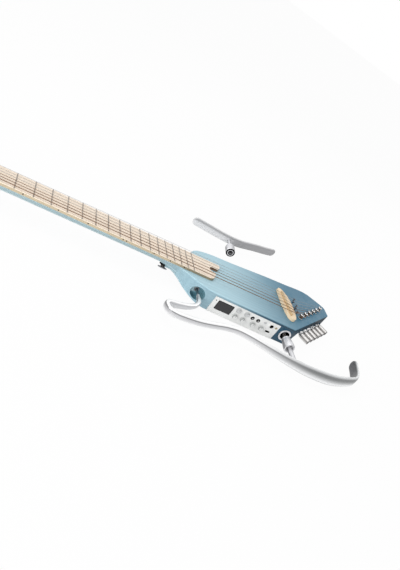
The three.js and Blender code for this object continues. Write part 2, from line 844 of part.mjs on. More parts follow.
// Fingerboard with its frets
function boardOutline() {
  const bassEnd = seam + boardBassLap;
  const trebleEnd = seam + boardTrebleLap;
  const notchLow = notchOffset - notchWidth / 2;
  const notchHigh = notchOffset + notchWidth / 2;
  const start = nutPlace + nutLength / 2 + gap;
  const endX = (y) =>
    THREE.MathUtils.mapLinear(y, -halfBoard(bassEnd), halfBoard(trebleEnd), bassEnd, trebleEnd);
  const notchBottom = endX(notchOffset) - notchDepth + notchWidth / 2;
  const bassRound = -halfBoard(bassEnd) * tongueShare;
  const trebleRound = halfBoard(trebleEnd) * tongueShare;
  const outline = new THREE.Shape();
  outline.moveTo(start, -halfBoard(start));
  outline.lineTo(bassEnd - notchWidth / 2, -halfBoard(bassEnd));
  outline.quadraticCurveTo(bassEnd, -halfBoard(bassEnd), endX(bassRound), bassRound);
  outline.lineTo(endX(notchLow) - bodyEdge, notchLow);
  outline.absarc(notchBottom, notchOffset, notchWidth / 2, -Math.PI / 2, Math.PI / 2, true);
  outline.lineTo(endX(notchHigh) - bodyEdge, notchHigh);
  outline.lineTo(endX(trebleRound), trebleRound);
  const trebleStart = trebleEnd - notchWidth / 2;
  outline.quadraticCurveTo(trebleEnd, halfBoard(trebleEnd), trebleStart, halfBoard(trebleEnd));
  outline.lineTo(start, halfBoard(start));
  outline.closePath();
  return outline;
}

function fret(number) {
  const x = nutPlace + scaleLength * (1 - 2 ** (-number / 12));
  const half = halfBoard(x) - fretInset;
  const crown = new THREE.Shape();
  crown.moveTo(-fretWidth / 2, -fretHeight);
  crown.lineTo(fretWidth / 2, -fretHeight);
  crown.absellipse(0, 0, fretWidth / 2, fretHeight, 0, Math.PI);
  crown.closePath();
  return slab(crown, -half, half, fretSteps)
    .rotateX(Math.PI / 2)
    .translate(x, 0, boardFace);
}

const fretNumbers = Array.from({ length: fretCount }, (_, i) => i + 1);
place("fretboard", join([slab(boardOutline(), boardFoot, boardFace), ...fretNumbers.map(fret)]), maple);

// Nut, head anchor, bridge, saddle and the pickup strip
const nutSides = nutWidth / 2;
const nutBlock = block(
  nutPlace - nutLength / 2,
  nutPlace + nutLength / 2,
  -nutSides,
  nutSides,
  boardFoot,
  nutTopZ(0) + nutRise,
);
const extended = (string) => {
  const ahead = string.nut.clone().lerp(string.saddle, nutLength / scaleLength);
  return tube([string.anchor, string.nut, ahead], string.radius + gap, smallSides);
};
place("nut", cut(nutBlock, strings.map(extended)), bone);

const anchorX = nutPlace - anchorSetback;
const anchorBlock = block(
  anchorX - anchorLength,
  anchorX,
  -anchorWidth / 2,
  anchorWidth / 2,
  headFace + gap,
  nutTopZ(0) + anchorRise,
);
place("head_anchor", cut(anchorBlock, strings.map(extended)), silver);

const bridgeOutlineShares = [
  // across the bridge from its front edge, and along it from its middle
  [0.104, 0.49],
  [0.29, 0.508],
  [0.52, 0.475],
  [0.71, 0.386],
  [0.87, 0.28],
  [1, 0.06],
  [1, -0.185],
  [0.896, -0.392],
  [0.75, -0.477],
  [0.54, -0.5],
  [0.31, -0.472],
  [0.167, -0.392],
  [0.062, -0.187],
  [0, -0.017],
  [0.017, 0.13],
  [0.033, 0.324],
];
const bridgeCurve = new THREE.CatmullRomCurve3(
  bridgeOutlineShares.map(
    ([across, along]) =>
      new THREE.Vector3(bridgeFront + across * bridgeWidth, bridgeSlack + along * bridgeLength, 0),
  ),
  true,
);
const bridgeShape = new THREE.Shape(
  bridgeCurve.getPoints(bridgeSides).slice(1).map((point) => new THREE.Vector2(point.x, point.y)),
);
const bridgeBlank = slab(bridgeShape, topFace + gap, topFace + bridgeHeight);
const onSaddle = (geometry) => geometry.rotateZ(saddleSlant).translate(saddlePlace, 0, 0);
const saddleFloor = topFace + bridgeHeight - saddleDepth;
const saddleSlot = onSaddle(
  block(
    -saddleThickness / 2 - gap,
    saddleThickness / 2 + gap,
    -saddleLength / 2 - gap,
    saddleLength / 2 + gap,
    saddleFloor - gap,
    topFace + bridgeHeight + overrun,
  ),
);
place("bridge", cut(bridgeBlank, [saddleSlot]), maple);
const stripTop = saddleFloor + stripHeight;
place(
  "piezo_strip",
  onSaddle(
    block(
      -saddleThickness / 2,
      saddleThickness / 2,
      -saddleLength / 2,
      saddleLength / 2,
      saddleFloor,
      stripTop,
    ),
  ),
  piezoCopper,
);
const saddleBlank = onSaddle(
  block(
    -saddleThickness / 2,
    saddleThickness / 2,
    -saddleLength / 2,
    saddleLength / 2,
    stripTop + gap,
    saddleTopZ(0),
  ),
);
const saddleGroove = (string) => tube(string.route.slice(1, 4), string.radius + gap, smallSides);
place("saddle", cut(saddleBlank, strings.map(saddleGroove)), bone);

strings.forEach((string, i) => {
  const [before, after] = [string.nut, string.saddle];
  const saddleBend = after.clone().lerp(before, nutLength / scaleLength);
  const route = string.route.flatMap((point) => (point === after ? [saddleBend, point] : [point]));
  place(`string_${i + 1}`, tube(route, string.radius, stringSides), i < 3 ? brass : steel);
});

// Guide pins, one beside each string but the first
strings.forEach((string, i) => {
  if (!string.guide) return;
  const headFloor = string.guide.z + string.radius + gap;
  const pin = turned(
    [
      [0, topFace - guideDepth],
      [guideStem, topFace - guideDepth],
      [guideStem, headFloor],
      [guideHead, headFloor],
      [guideHead, headFloor + guideHeadHeight / 2],
      [guideHead / 2, headFloor + guideHeadHeight],
      [0, headFloor + guideHeadHeight],
    ],
    smallSides,
  );
  const y = string.guide.y + guideStem + gap + string.radius;
  place(`string_guide_${i + 1}`, pin.translate(string.guide.x, y, 0), darkSteel);
});

// Tuners: base plate with bearing ears, posts with gears, worm shafts with knobs
const plateStart = postPlaces[0] - wormOffset - plateMargin;
const plateEnd = postPlaces[tunerCount - 1] + plateMargin;
const plateSheet = block(
  plateStart,
  plateEnd,
  postInset - earSpread - plateMargin / 2,
  postInset + earSpread + plateMargin / 2,
  plateFloor,
  plateTop,
);
function ear(t, y) {
  const low = wormHeight - earDrop;
  const half = earWidth / 2;
  return block(t - half, t + half, y - earThickness / 2, y + earThickness / 2, low, plateTop);
}
const wormPlaces = postPlaces.map((t) => t - wormOffset);
const ears = wormPlaces.flatMap((t) => [ear(t, postInset - earSpread), ear(t, postInset + earSpread)]);
const wormBore = (t) =>
  alongY(rod(wormRadius + gap, -overrun, bayDepth, smallSides)).translate(t, 0, wormHeight);
const plateBore = (t) => rod(postRadius + gap, 0, topFace, smallSides).translate(t, postInset, 0);
place(
  "tuner_plate",
  cut(join([plateSheet, ...ears]), [...wormPlaces.map(wormBore), ...postPlaces.map(plateBore)]),
  silver,
  tail,
);

function gearOutline() {
  const outline = new THREE.Shape();
  for (let tooth = 0; tooth < gearTeeth; tooth += 1) {
    [gearRoot, gearRadius, gearRadius, gearRoot].forEach((radius, step) => {
      const angle = ((tooth + toothShares[step]) / gearTeeth) * 2 * Math.PI;
      const point = [radius * Math.cos(angle), radius * Math.sin(angle)];
      if (tooth === 0 && step === 0) outline.moveTo(...point);
      else outline.lineTo(...point);
    });
  }
  outline.closePath();
  return outline;
}

const gearFloor = wormHeight - gearHeight / 2;
const gearTop = wormHeight + gearHeight / 2;
const waistTop = waistFloor + waistHeight;
function tuningPost() {
  const profile = [
    [0, gearFloor - postPinLength],
    [postPin, gearFloor - postPinLength],
    [postPin, gearFloor + gap],
    [postRadius, gearFloor + gap],
    [postRadius, topFace + gap],
    [collarRadius, topFace + gap],
    [collarRadius, waistFloor],
    [waistRadius, waistFloor],
    [waistRadius, waistTop],
    [capRadius, waistTop],
    [capRadius, waistTop + capHeight / 2],
    [capRadius / 2, waistTop + capHeight],
    [0, waistTop + capHeight],
  ];
  return join([turned(profile, smallSides), slab(gearOutline(), gearFloor, gearTop)]);
}

function tuningKnob() {
  const shaftEnd = postInset + earSpread + earThickness / 2 + shaftTail;
  const ringEnd = -knobStandoff - rootRingLength;
  const barrelEnd = ringEnd - knobLength;
  const profile = [
    [0, barrelEnd],
    [knobRadius - knobEdge, barrelEnd],
    [knobRadius, barrelEnd + knobEdge],
    [knobRadius, ringEnd - knobEdge],
    [knobRadius - knobEdge, ringEnd],
    [rootRingRadius, ringEnd],
    [rootRingRadius, -knobStandoff],
    [wormRadius, -knobStandoff],
    [wormRadius, shaftEnd],
    [0, shaftEnd],
  ];
  return alongY(turned(profile, smallSides));
}

postPlaces.forEach((t, i) => {
  place(`tuner_post_${i + 1}`, tuningPost(), silver, tail).position.set(t, postInset, 0);
  const knob = place(`tuner_knob_${i + 1}`, tuningKnob(), silver, tail);
  knob.position.set(wormPlaces[i], 0, wormHeight);
});

// Control panel and what it carries, in the side frame
const [screenX, screenZ] = onPanel(controlShares.screen);

function windowHole(x, z, width, height, radius) {
  return roundedRectangle(
    x - width / 2 - gap,
    x + width / 2 + gap,
    z - height / 2 - gap,
    z + height / 2 + gap,
    radius,
    new THREE.Path(),
  );
}

const panelShape = roundedRectangle(0, panelLength, panelFoot, panelFoot + panelHeight, panelCorner);
const roundHoles = [
  ...controlShares.upperKnobs.map((spot) => [spot, controlShaft]),
  ...controlShares.lowerKnobs.map((spot) => [spot, controlShaft]),
  ...controlShares.ringButtons.map((spot) => [spot, ringButtonRadius]),
  [controlShares.smallButton, smallButtonRadius],
  [controlShares.jack, jackRadius + jackWall],
  [controlShares.screw, panelScrewShaft],
  [controlShares.indicator, indicatorRadius],
];
panelShape.holes = [
  ...roundHoles.map(([spot, radius]) => circleHole(...onPanel(spot), radius + gap)),
  windowHole(screenX, screenZ, screenWidth, screenHeight, panelCorner),
  windowHole(portX, portZ, portWidth, portHeight, portHeight / 2),
];
// A slab drawn in X and Z, from one depth to another into the body
const sideSlab = (shape, near, far) => slab(shape, -far, -near).rotateX(Math.PI / 2);
place("control_panel", sideSlab(panelShape, -panelProud, panelFloor), whitePlastic, side);

const screenShape = roundedRectangle(
  screenX - screenWidth / 2,
  screenX + screenWidth / 2,
  screenZ - screenHeight / 2,
  screenZ + screenHeight / 2,
  panelCorner - gap,
);
place("screen", sideSlab(screenShape, -panelProud - screenProud, screenDepth), screenGlass, side);

// Turned controls: heights run out of the panel from the side's face
const shaftFoot = -boardFaceDepth + gap;
function controlKnob(height) {
  const base = panelProud + gap;
  return againstY(
    turned([
      [0, shaftFoot],
      [controlShaft, shaftFoot],
      [controlShaft, base],
      [controlKnobRadius, base],
      [controlKnobRadius, base + height - knobEdge],
      [controlKnobRadius - knobEdge, base + height],
      [0, base + height],
    ]),
  );
}

function pushButton(radius) {
  const flangeTop = -panelFloor - gap;
  const face = panelProud + ringButtonHeight;
  const foot = flangeTop - buttonFlangeHeight;
  return againstY(
    turned(
      [
        [0, foot],
        [radius + buttonFlange, foot],
        [radius + buttonFlange, flangeTop],
        [radius, flangeTop],
        [radius, face],
        [0, face],
      ],
      smallSides,
    ),
  );
}

function setIn(name, spot, geometry, look) {
  const [x, z] = onPanel(spot);
  place(name, geometry, look, side).position.set(x, 0, z);
}
controlShares.upperKnobs.forEach((spot, i) =>
  setIn(`upper_knob_${i + 1}`, spot, controlKnob(lowKnobHeight), greyPlastic),
);
controlShares.lowerKnobs.forEach((spot, i) =>
  setIn(`lower_knob_${i + 1}`, spot, controlKnob(controlKnobHeight), whitePlastic),
);
controlShares.ringButtons.forEach((spot, i) =>
  setIn(`ring_button_${i + 1}`, spot, pushButton(ringButtonRadius), blackPlastic),
);
setIn("small_button", controlShares.smallButton, pushButton(smallButtonRadius), greyPlastic);

const jackOuter = jackRadius + jackWall;
const jackFace = panelProud + gap + jackFlangeHeight;
const jack = turned([
  [jackRadius, shaftFoot],
  [jackOuter, shaftFoot],
  [jackOuter, panelProud + gap],
  [jackFlange, panelProud + gap],
  [jackFlange, jackFace],
  [jackRadius, jackFace],
  [jackRadius, shaftFoot],
]);
setIn("jack_socket", controlShares.jack, againstY(jack), blackPlastic);

const portShape = roundedRectangle(
  portX - portWidth / 2,
  portX + portWidth / 2,
  portZ - portHeight / 2,
  portZ + portHeight / 2,
  portHeight / 2 - gap,
);
portShape.holes = [
  windowHole(
    portX,
    portZ,
    portWidth - 2 * portWall - 2 * gap,
    portHeight - 2 * portWall - 2 * gap,
    portHeight / 2 - gap - portWall,
  ),
];
place("charge_port", sideSlab(portShape, -panelProud, portDepth), darkSteel, side);

const screwSeat = panelProud + gap;
const screwTip = screwSeat - panelScrewLength;
const panelScrew = turned(
  [
    [0, screwTip],
    [panelScrewShaft, screwTip],
    [panelScrewShaft, screwSeat],
    [panelScrewRadius, screwSeat],
    [panelScrewRadius - gap, screwSeat + panelScrewHead],
    [0, screwSeat + panelScrewHead],
  ],
  smallSides,
);
setIn("panel_screw", controlShares.screw, againstY(panelScrew), brass);
const indicator = rod(indicatorRadius, shaftFoot, panelProud, smallSides);
setIn("indicator_light", controlShares.indicator, againstY(indicator), greyPlastic);

place(
  "circuit_board",
  block(
    pocketStart + gap,
    pocketEnd - gap,
    boardFaceDepth,
    boardBackDepth,
    pocketFloor + gap,
    pocketRoof - gap,
  ),
  boardGreen,
  side,
);
const batteryMiddle = (batteryFront + pocketDepth) / 2;
const batteryFloor = coverThickness + 2 * gap;
place(
  "battery",
  block(
    panelLength / 2 - batteryLength / 2,
    panelLength / 2 + batteryLength / 2,
    batteryMiddle - batteryWidth / 2,
    batteryMiddle + batteryWidth / 2,
    batteryFloor,
    batteryFloor + batteryHeight,
  ),
  batteryWrap,
  side,
);
place(
  "back_cover",
  block(
    pocketInset - coverMargin + gap,
    panelLength - pocketInset + coverMargin - gap,
    batteryFront - coverMargin + gap,
    pocketDepth + coverMargin - gap,
    gap,
    coverThickness + gap,
  ),
  blackPlastic,
  side,
);

// Sockets, bush, strap button
place("bass_socket", intoBassSide(socketShape()), silver);
place("treble_socket", intoTrebleSide(socketShape()), silver);
const bush = turned([
  [bushBore, recessFloor - bushDepth],
  [bushRadius, recessFloor - bushDepth],
  [bushRadius, recessFloor + bushProud],
  [bushBore, recessFloor + bushProud],
  [bushBore, recessFloor - bushDepth],
]);
place("front_bush", againstY(bush).translate(frontRodPlace, 0, frameHeight), silver);

const feltTop = strapSeat - gap;
const feltFloor = feltTop - strapFeltThickness;
const felt = turned([
  [strapScrew + gap, feltFloor],
  [strapFelt, feltFloor],
  [strapFelt, feltTop],
  [strapScrew + gap, feltTop],
  [strapScrew + gap, feltFloor],
]);
place("strap_felt", felt.translate(strapPlace, 0, 0), feltBlack);
const buttonTop = feltFloor - gap;
const buttonFloor = buttonTop - strapButtonHeight;
const strapButton = turned([
  [0, buttonFloor],
  [strapButtonRadius - strapRim, buttonFloor],
  [strapButtonRadius, buttonFloor + strapRim],
  [strapWaist, buttonFloor + 2 * strapRim],
  [strapWaist, buttonTop - strapRim],
  [strapFelt - strapRim, buttonTop],
  [strapScrew, buttonTop],
  [strapScrew, strapSeat + strapScrewDepth - gap],
  [0, strapSeat + strapScrewDepth - gap],
]);
place("strap_button", strapButton.translate(strapPlace, 0, 0), silver);

// Bout frame: its route as shares of its length and depth from the hairpin's end
const frameRouteShares = [
  [0.158, 0],
  [0.158, 0.124],
  [0.152, 0.251],
  [0.132, 0.387],
  [0.098, 0.495],
  [0.07, 0.546],
  [0.043, 0.584],
  [0.021, 0.6],
  [0.007, 0.623],
  [0, 0.679],
  [0.002, 0.745],
  [0.009, 0.806],
  [0.022, 0.846],
  [0.045, 0.867],
  [0.074, 0.864],
  [0.113, 0.848],
  [0.154, 0.814],
  [0.211, 0.738],
  [0.27, 0.653],
  [0.329, 0.617],
  [0.386, 0.66],
  [0.47, 0.777],
  [0.555, 0.895],
  [0.644, 0.977],
  [0.742, 0.993],
  [0.812, 0.953],
  [0.894, 0.828],
  [0.943, 0.708],
  [0.97, 0.521],
  [0.987, 0.308],
  [0.996, 0.163],
  [1.001, 0.056],
];
const frameFront = frontRodPlace - frameRouteShares[0][0] * frameLength;
const frameRoute = new THREE.CatmullRomCurve3(
  frameRouteShares.map(
    ([along, out]) =>
      new THREE.Vector3(frameFront + along * frameLength, frameShallow - out * frameDepth, frameHeight),
  ),
  false,
  "centripetal",
);
const frameCap = bandTail / 2 / frameRoute.getLength();
function frameSection(share) {
  const grow = THREE.MathUtils.smoothstep(share, rodTipShare, rodGrowShare);
  const tipGrow = THREE.MathUtils.smoothstep(share, 0, rodTipShare);
  const round = 2 * THREE.MathUtils.lerp(rodTipRadius, rodRadius, tipGrow);
  const widening = THREE.MathUtils.smoothstep(share, ...bandGrowShares);
  const narrowing = THREE.MathUtils.smoothstep(share, bandGrowShares[1], 1);
  const wide = THREE.MathUtils.lerp(bandWide, bandTail, narrowing);
  const height = THREE.MathUtils.lerp(bandFront, wide, widening);
  const size = capSize(share, 0, frameCap);
  return {
    thickness: THREE.MathUtils.lerp(round, bandThickness, grow) * Math.sqrt(size),
    height: THREE.MathUtils.lerp(round, height, grow) * size,
  };
}
const frameBand = band(frameRoute, stopsAlong(frameSteps, 0, frameCap), frameSection);
const pinEnd = -recessFloor + guidePinReach;
const frontPin = alongY(rod(guidePinRadius, frameShallow - rodRadius, pinEnd, smallSides))
  .translate(frontRodPlace, 0, frameHeight);
const rearBandPoint = frameRoute
  .getPoints(frameSearchSteps)
  .reduce((best, point) =>
    point.y < frameShallow - frameDepth / 2 &&
    Math.abs(point.x - rearRodPlace) < Math.abs(best.x - rearRodPlace)
      ? point
      : best,
  );
const sleeveNear = bassSocketFace - sleeveStart;
const rearRod = alongY(rod(rodRadius, rearBandPoint.y, sleeveNear - frameRodShort, smallSides))
  .translate(rearRodPlace, 0, frameHeight);
place("bout_frame", join([frameBand, frontPin, rearRod]), silver);

// A knurled sleeve that turns on a rod; its nose seats in a socket
function lockSleeve(length, nose, rear, bore, rodSize) {
  return turned([
    [rodSize + gap, 0],
    [nose - knobEdge, 0],
    [nose, knobEdge],
    [rear, length * sleeveTaperShare],
    [rear, length - knobEdge],
    [rear - knobEdge, length],
    [bore, length],
    [bore, length - sleeveBoreDepth],
    [rodSize + gap, length - sleeveBoreDepth],
    [rodSize + gap, 0],
  ]);
}
const frameSleeve = lockSleeve(sleeveLength, sleeveRadius, sleeveRearRadius, sleeveBore, rodRadius);
place("frame_sleeve", againstY(frameSleeve).translate(rearRodPlace, sleeveNear, frameHeight), silver);

// Leg rest, made about its own stem: X along the bar, Y out from the body
const legRest = new THREE.Group();
legRest.position.set(legSocketPlace, legSocketReach, frameHeight);
legRest.rotation.z = -legLean;
guitar.add(legRest);
const legBarPlace = legPull + legSleeveLength + legStem;
const legRouteShares = [
  [-0.392, -0.099],
  [-0.343, -0.017],
  [-0.234, -0.012],
  [-0.125, -0.012],
  [-0.013, 0.025],
  [0.107, 0.19],
  [0.212, 0.477],
  [0.318, 0.807],
  [0.426, 1.096],
  [0.501, 1.321],
  [0.574, 1.551],
];
const legRoute = new THREE.CatmullRomCurve3(
  legRouteShares.map(
    ([along, out]) => new THREE.Vector3(along * legLength, legBarPlace + out * legRise, 0),
  ),
);
const legCap = legBand / 2 / legRoute.getLength();
function legSection(share) {
  const size = capSize(share, legCap, legCap);
  return { thickness: legBandThickness * Math.sqrt(size), height: legBand * size };
}
const legBar = band(legRoute, stopsAlong(legSteps, legCap, legCap), legSection);
const legRod = alongY(rod(legStemRadius, legPull + legRodShort, legBarPlace, smallSides));
place("leg_rest", join([legBar, legRod]), silver, legRest);
const legSleeve = lockSleeve(legSleeveLength, legSleeveRadius, legSleeveRadius, sleeveBore, legStemRadius);
place("leg_sleeve", alongY(legSleeve).translate(0, legPull, 0), silver, legRest);

export default guitar;
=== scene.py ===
"""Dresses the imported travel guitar: lacquer, maple, metal and panel looks around its fixed frame.

Everything is in metres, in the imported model's own frame: X runs from the head to the tail,
Y to the treble side and Z out of the front. Run inside Blender 4.5.
"""

import logging
import math
from collections.abc import Callable, Iterable, Sequence
from dataclasses import dataclass, field
from enum import Enum

import bmesh
import bpy
from bmesh.types import BMesh, BMEdge, BMFace, BMVert
from mathutils import Matrix, Vector


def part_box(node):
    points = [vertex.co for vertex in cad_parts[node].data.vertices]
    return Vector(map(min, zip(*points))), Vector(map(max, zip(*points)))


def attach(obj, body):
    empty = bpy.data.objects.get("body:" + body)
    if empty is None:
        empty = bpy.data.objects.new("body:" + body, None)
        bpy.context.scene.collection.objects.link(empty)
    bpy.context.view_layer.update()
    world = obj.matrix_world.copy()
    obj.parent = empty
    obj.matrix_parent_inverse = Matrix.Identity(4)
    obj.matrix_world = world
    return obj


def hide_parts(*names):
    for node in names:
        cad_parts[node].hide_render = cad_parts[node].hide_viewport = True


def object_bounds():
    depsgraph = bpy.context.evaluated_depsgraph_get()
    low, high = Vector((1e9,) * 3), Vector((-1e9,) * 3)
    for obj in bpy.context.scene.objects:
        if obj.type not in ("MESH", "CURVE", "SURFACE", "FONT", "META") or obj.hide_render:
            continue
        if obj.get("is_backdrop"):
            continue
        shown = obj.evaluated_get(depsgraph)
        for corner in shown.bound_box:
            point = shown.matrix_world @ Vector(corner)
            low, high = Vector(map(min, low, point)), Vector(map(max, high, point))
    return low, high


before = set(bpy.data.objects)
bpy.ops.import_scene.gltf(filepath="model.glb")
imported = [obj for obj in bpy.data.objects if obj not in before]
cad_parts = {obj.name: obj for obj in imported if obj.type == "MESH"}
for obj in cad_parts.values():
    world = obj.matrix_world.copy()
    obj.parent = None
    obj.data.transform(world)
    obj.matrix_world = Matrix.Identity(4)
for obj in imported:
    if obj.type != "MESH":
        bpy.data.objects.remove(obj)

log = logging.getLogger("travel_guitar")

MM = 0.001
GAP = 0.3 * MM  # left between CAD faces that touch
MERGE = 0.002 * MM  # corners closer than this are one corner
ROOT = "instrument"

Colour = tuple[float, float, float]
Ramp = tuple[float, float]  # where something begins and where it is full
Spot = tuple[float, float]  # two measures in a plane

STAY = Matrix.Identity(4)  # leaves a shape where it is made
EVERYWHERE: Ramp = (-1.0, 1.0)  # in metres, wider than the instrument
PROFILE = ("profile_out", "profile_up", "profile_run")  # what a sweep notes at each corner


def linear(red: int, green: int, blue: int) -> Colour:
    """Turns an 8-bit sRGB colour into the linear values that a socket takes.

    Args:
        red: red, 0 to 255.
        green: green, 0 to 255.
        blue: blue, 0 to 255.

    Returns:
        The three linear channels.
    """

    def channel(value: int) -> float:
        """Undoes the sRGB curve for one channel."""
        share = value / 255
        return share / 12.92 if share <= 0.04045 else ((share + 0.055) / 1.055) ** 2.4

    return (channel(red), channel(green), channel(blue))


def smoothstep(value: float, low: float, high: float) -> float:
    """Rises smoothly from 0 at low to 1 at high."""
    share = min(max((value - low) / (high - low), 0), 1)
    return share * share * (3 - 2 * share)


def lerp(start: float, end: float, share: float) -> float:
    """Mixes start and end by share."""
    return start + (end - start) * share


# Shader building


class Effect(Enum):
    """The node groups that several finishes share."""

    GRAIN = "wood_grain"
    SPECKLE = "fine_speckle"
    BRUSHED = "brushed_lines"
    DUST = "settled_dust"
    EDGES = "rubbed_edges"


class Nodes:
    """A short way to add and link nodes in one tree."""

    def __init__(self, tree: bpy.types.NodeTree) -> None:
        """Keeps the tree that nodes go into."""
        self.tree = tree

    def add(self, kind: str, **values: object) -> bpy.types.Node:
        """Adds a node and sets its properties.

        Args:
            kind: the node's type name.
            **values: property names and what they are set to.

        Returns:
            The new node.
        """
        node = self.tree.nodes.new(kind)
        for name, value in values.items():
            setattr(node, name, value)
        return node

    def link(self, source: object, target: object) -> None:
        """Links an output socket to an input socket."""
        self.tree.links.new(source, target)

    def feed(self, target: object, value: object) -> None:
        """Links an output socket to target, or sets target to a plain value.

        Args:
            target: the input socket.
            value: an output socket or a plain value.
        """
        if isinstance(value, bpy.types.NodeSocket):
            self.link(value, target)
        else:
            target.default_value = value

    def math(self, operation: str, *values: object, clamp: bool = False) -> object:
        """Adds a Math node.

        Args:
            operation: its operation's name.
            *values: sockets or numbers, one for each input that the operation takes.
            clamp: whether the result is held between 0 and 1.

        Returns:
            Its output socket.
        """
        node = self.add("ShaderNodeMath", operation=operation, use_clamp=clamp)
        for target, value in zip(node.inputs, values):
            self.feed(target, value)
        return node.outputs[0]

    def times(self, first: object, *others: object) -> object:
        """Multiplies sockets or numbers.

        Args:
            first: a socket or a number.
            *others: what it is multiplied by.

        Returns:
            The product.
        """
        for other in others:
            first = self.math("MULTIPLY", first, other)
        return first

    def mix(self, share: object, first: object, second: object) -> object:
        """Mixes two colours.

        Args:
            share: a socket or a number.
            first: the colour at share 0.
            second: the colour at share 1.

        Returns:
            The mixed colour's socket.
        """
        node = self.add("ShaderNodeMix", data_type="RGBA", blend_type="MIX", clamp_factor=True)
        self.feed(node.inputs[0], share)
        for slot, value in ((node.inputs[6], first), (node.inputs[7], second)):
            self.feed(slot, value if isinstance(value, bpy.types.NodeSocket) else (*value, 1))
        return node.outputs[2]

    def lay(self, base: object, tone: object, mask: object, strength: object) -> object:
        """Lays a tone over a colour where a mask is high, at most by strength."""
        return self.mix(self.times(mask, strength), base, tone)

    def spread(self, value: object, ends: Ramp, result: Ramp = (0, 1)) -> object:
        """Maps a value's stretch on another, smoothly, and holds it beyond the ends.

        Args:
            value: a socket.
            ends: the values that give the first and the second result.
            result: what they give.

        Returns:
            The mapped value's socket.
        """
        node = self.add("ShaderNodeMapRange", interpolation_type="SMOOTHSTEP")
        self.feed(node.inputs["Value"], value)
        for name, number in zip(("From Min", "From Max", "To Min", "To Max"), (*ends, *result)):
            node.inputs[name].default_value = number
        return node.outputs["Result"]

    def mapped(self, vector: object, scale: Sequence[float], turn: Sequence[float] = (0, 0, 0)) -> object:
        """Stretches and turns the pattern that a vector draws.

        Args:
            vector: the coordinates' socket.
            scale: how much each axis is stretched.
            turn: the pattern's rotation in radians.

        Returns:
            The mapped vector's socket.
        """
        mapping = self.add("ShaderNodeMapping")
        mapping.inputs["Scale"].default_value = scale
        mapping.inputs["Rotation"].default_value = turn
        self.link(vector, mapping.inputs["Vector"])
        return mapping.outputs["Vector"]

    def place(self, scale: Sequence[float] = (1, 1, 1), turn: Sequence[float] = (0, 0, 0)) -> object:
        """Gives Object coordinates, stretched and turned."""
        return self.mapped(self.add("ShaderNodeTexCoord").outputs["Object"], scale, turn)

    def split(self, vector: object) -> Sequence[object]:
        """Splits a vector into its X, Y and Z sockets.

        Args:
            vector: the vector's socket.

        Returns:
            The three sockets.
        """
        node = self.add("ShaderNodeSeparateXYZ")
        self.link(vector, node.inputs[0])
        return list(node.outputs)

    def geometry(self, name: str) -> object:
        """Gives an output of the Geometry node."""
        return self.add("ShaderNodeNewGeometry").outputs[name]

    def noise(self, vector: object, scale: object, detail: float = 3, roughness: float = 0.5) -> object:
        """Adds a Noise texture.

        Args:
            vector: the coordinates' socket.
            scale: the pattern's scale, a socket or a number.
            detail: octaves.
            roughness: how strong the finer octaves are.

        Returns:
            The Fac socket.
        """
        node = self.add("ShaderNodeTexNoise")
        self.feed(node.inputs["Scale"], scale)
        node.inputs["Detail"].default_value = detail
        node.inputs["Roughness"].default_value = roughness
        self.link(vector, node.inputs["Vector"])
        return node.outputs["Fac"]

    def seen(self) -> object:
        """Gives a mask that is 1 for rays from the camera, a mirror or glass.

        Returns:
            The mask's socket.
        """
        path = self.add("ShaderNodeLightPath").outputs
        direct = self.math("MAXIMUM", path["Is Camera Ray"], path["Is Transmission Ray"])
        return self.math("MAXIMUM", direct, path["Is Glossy Ray"])


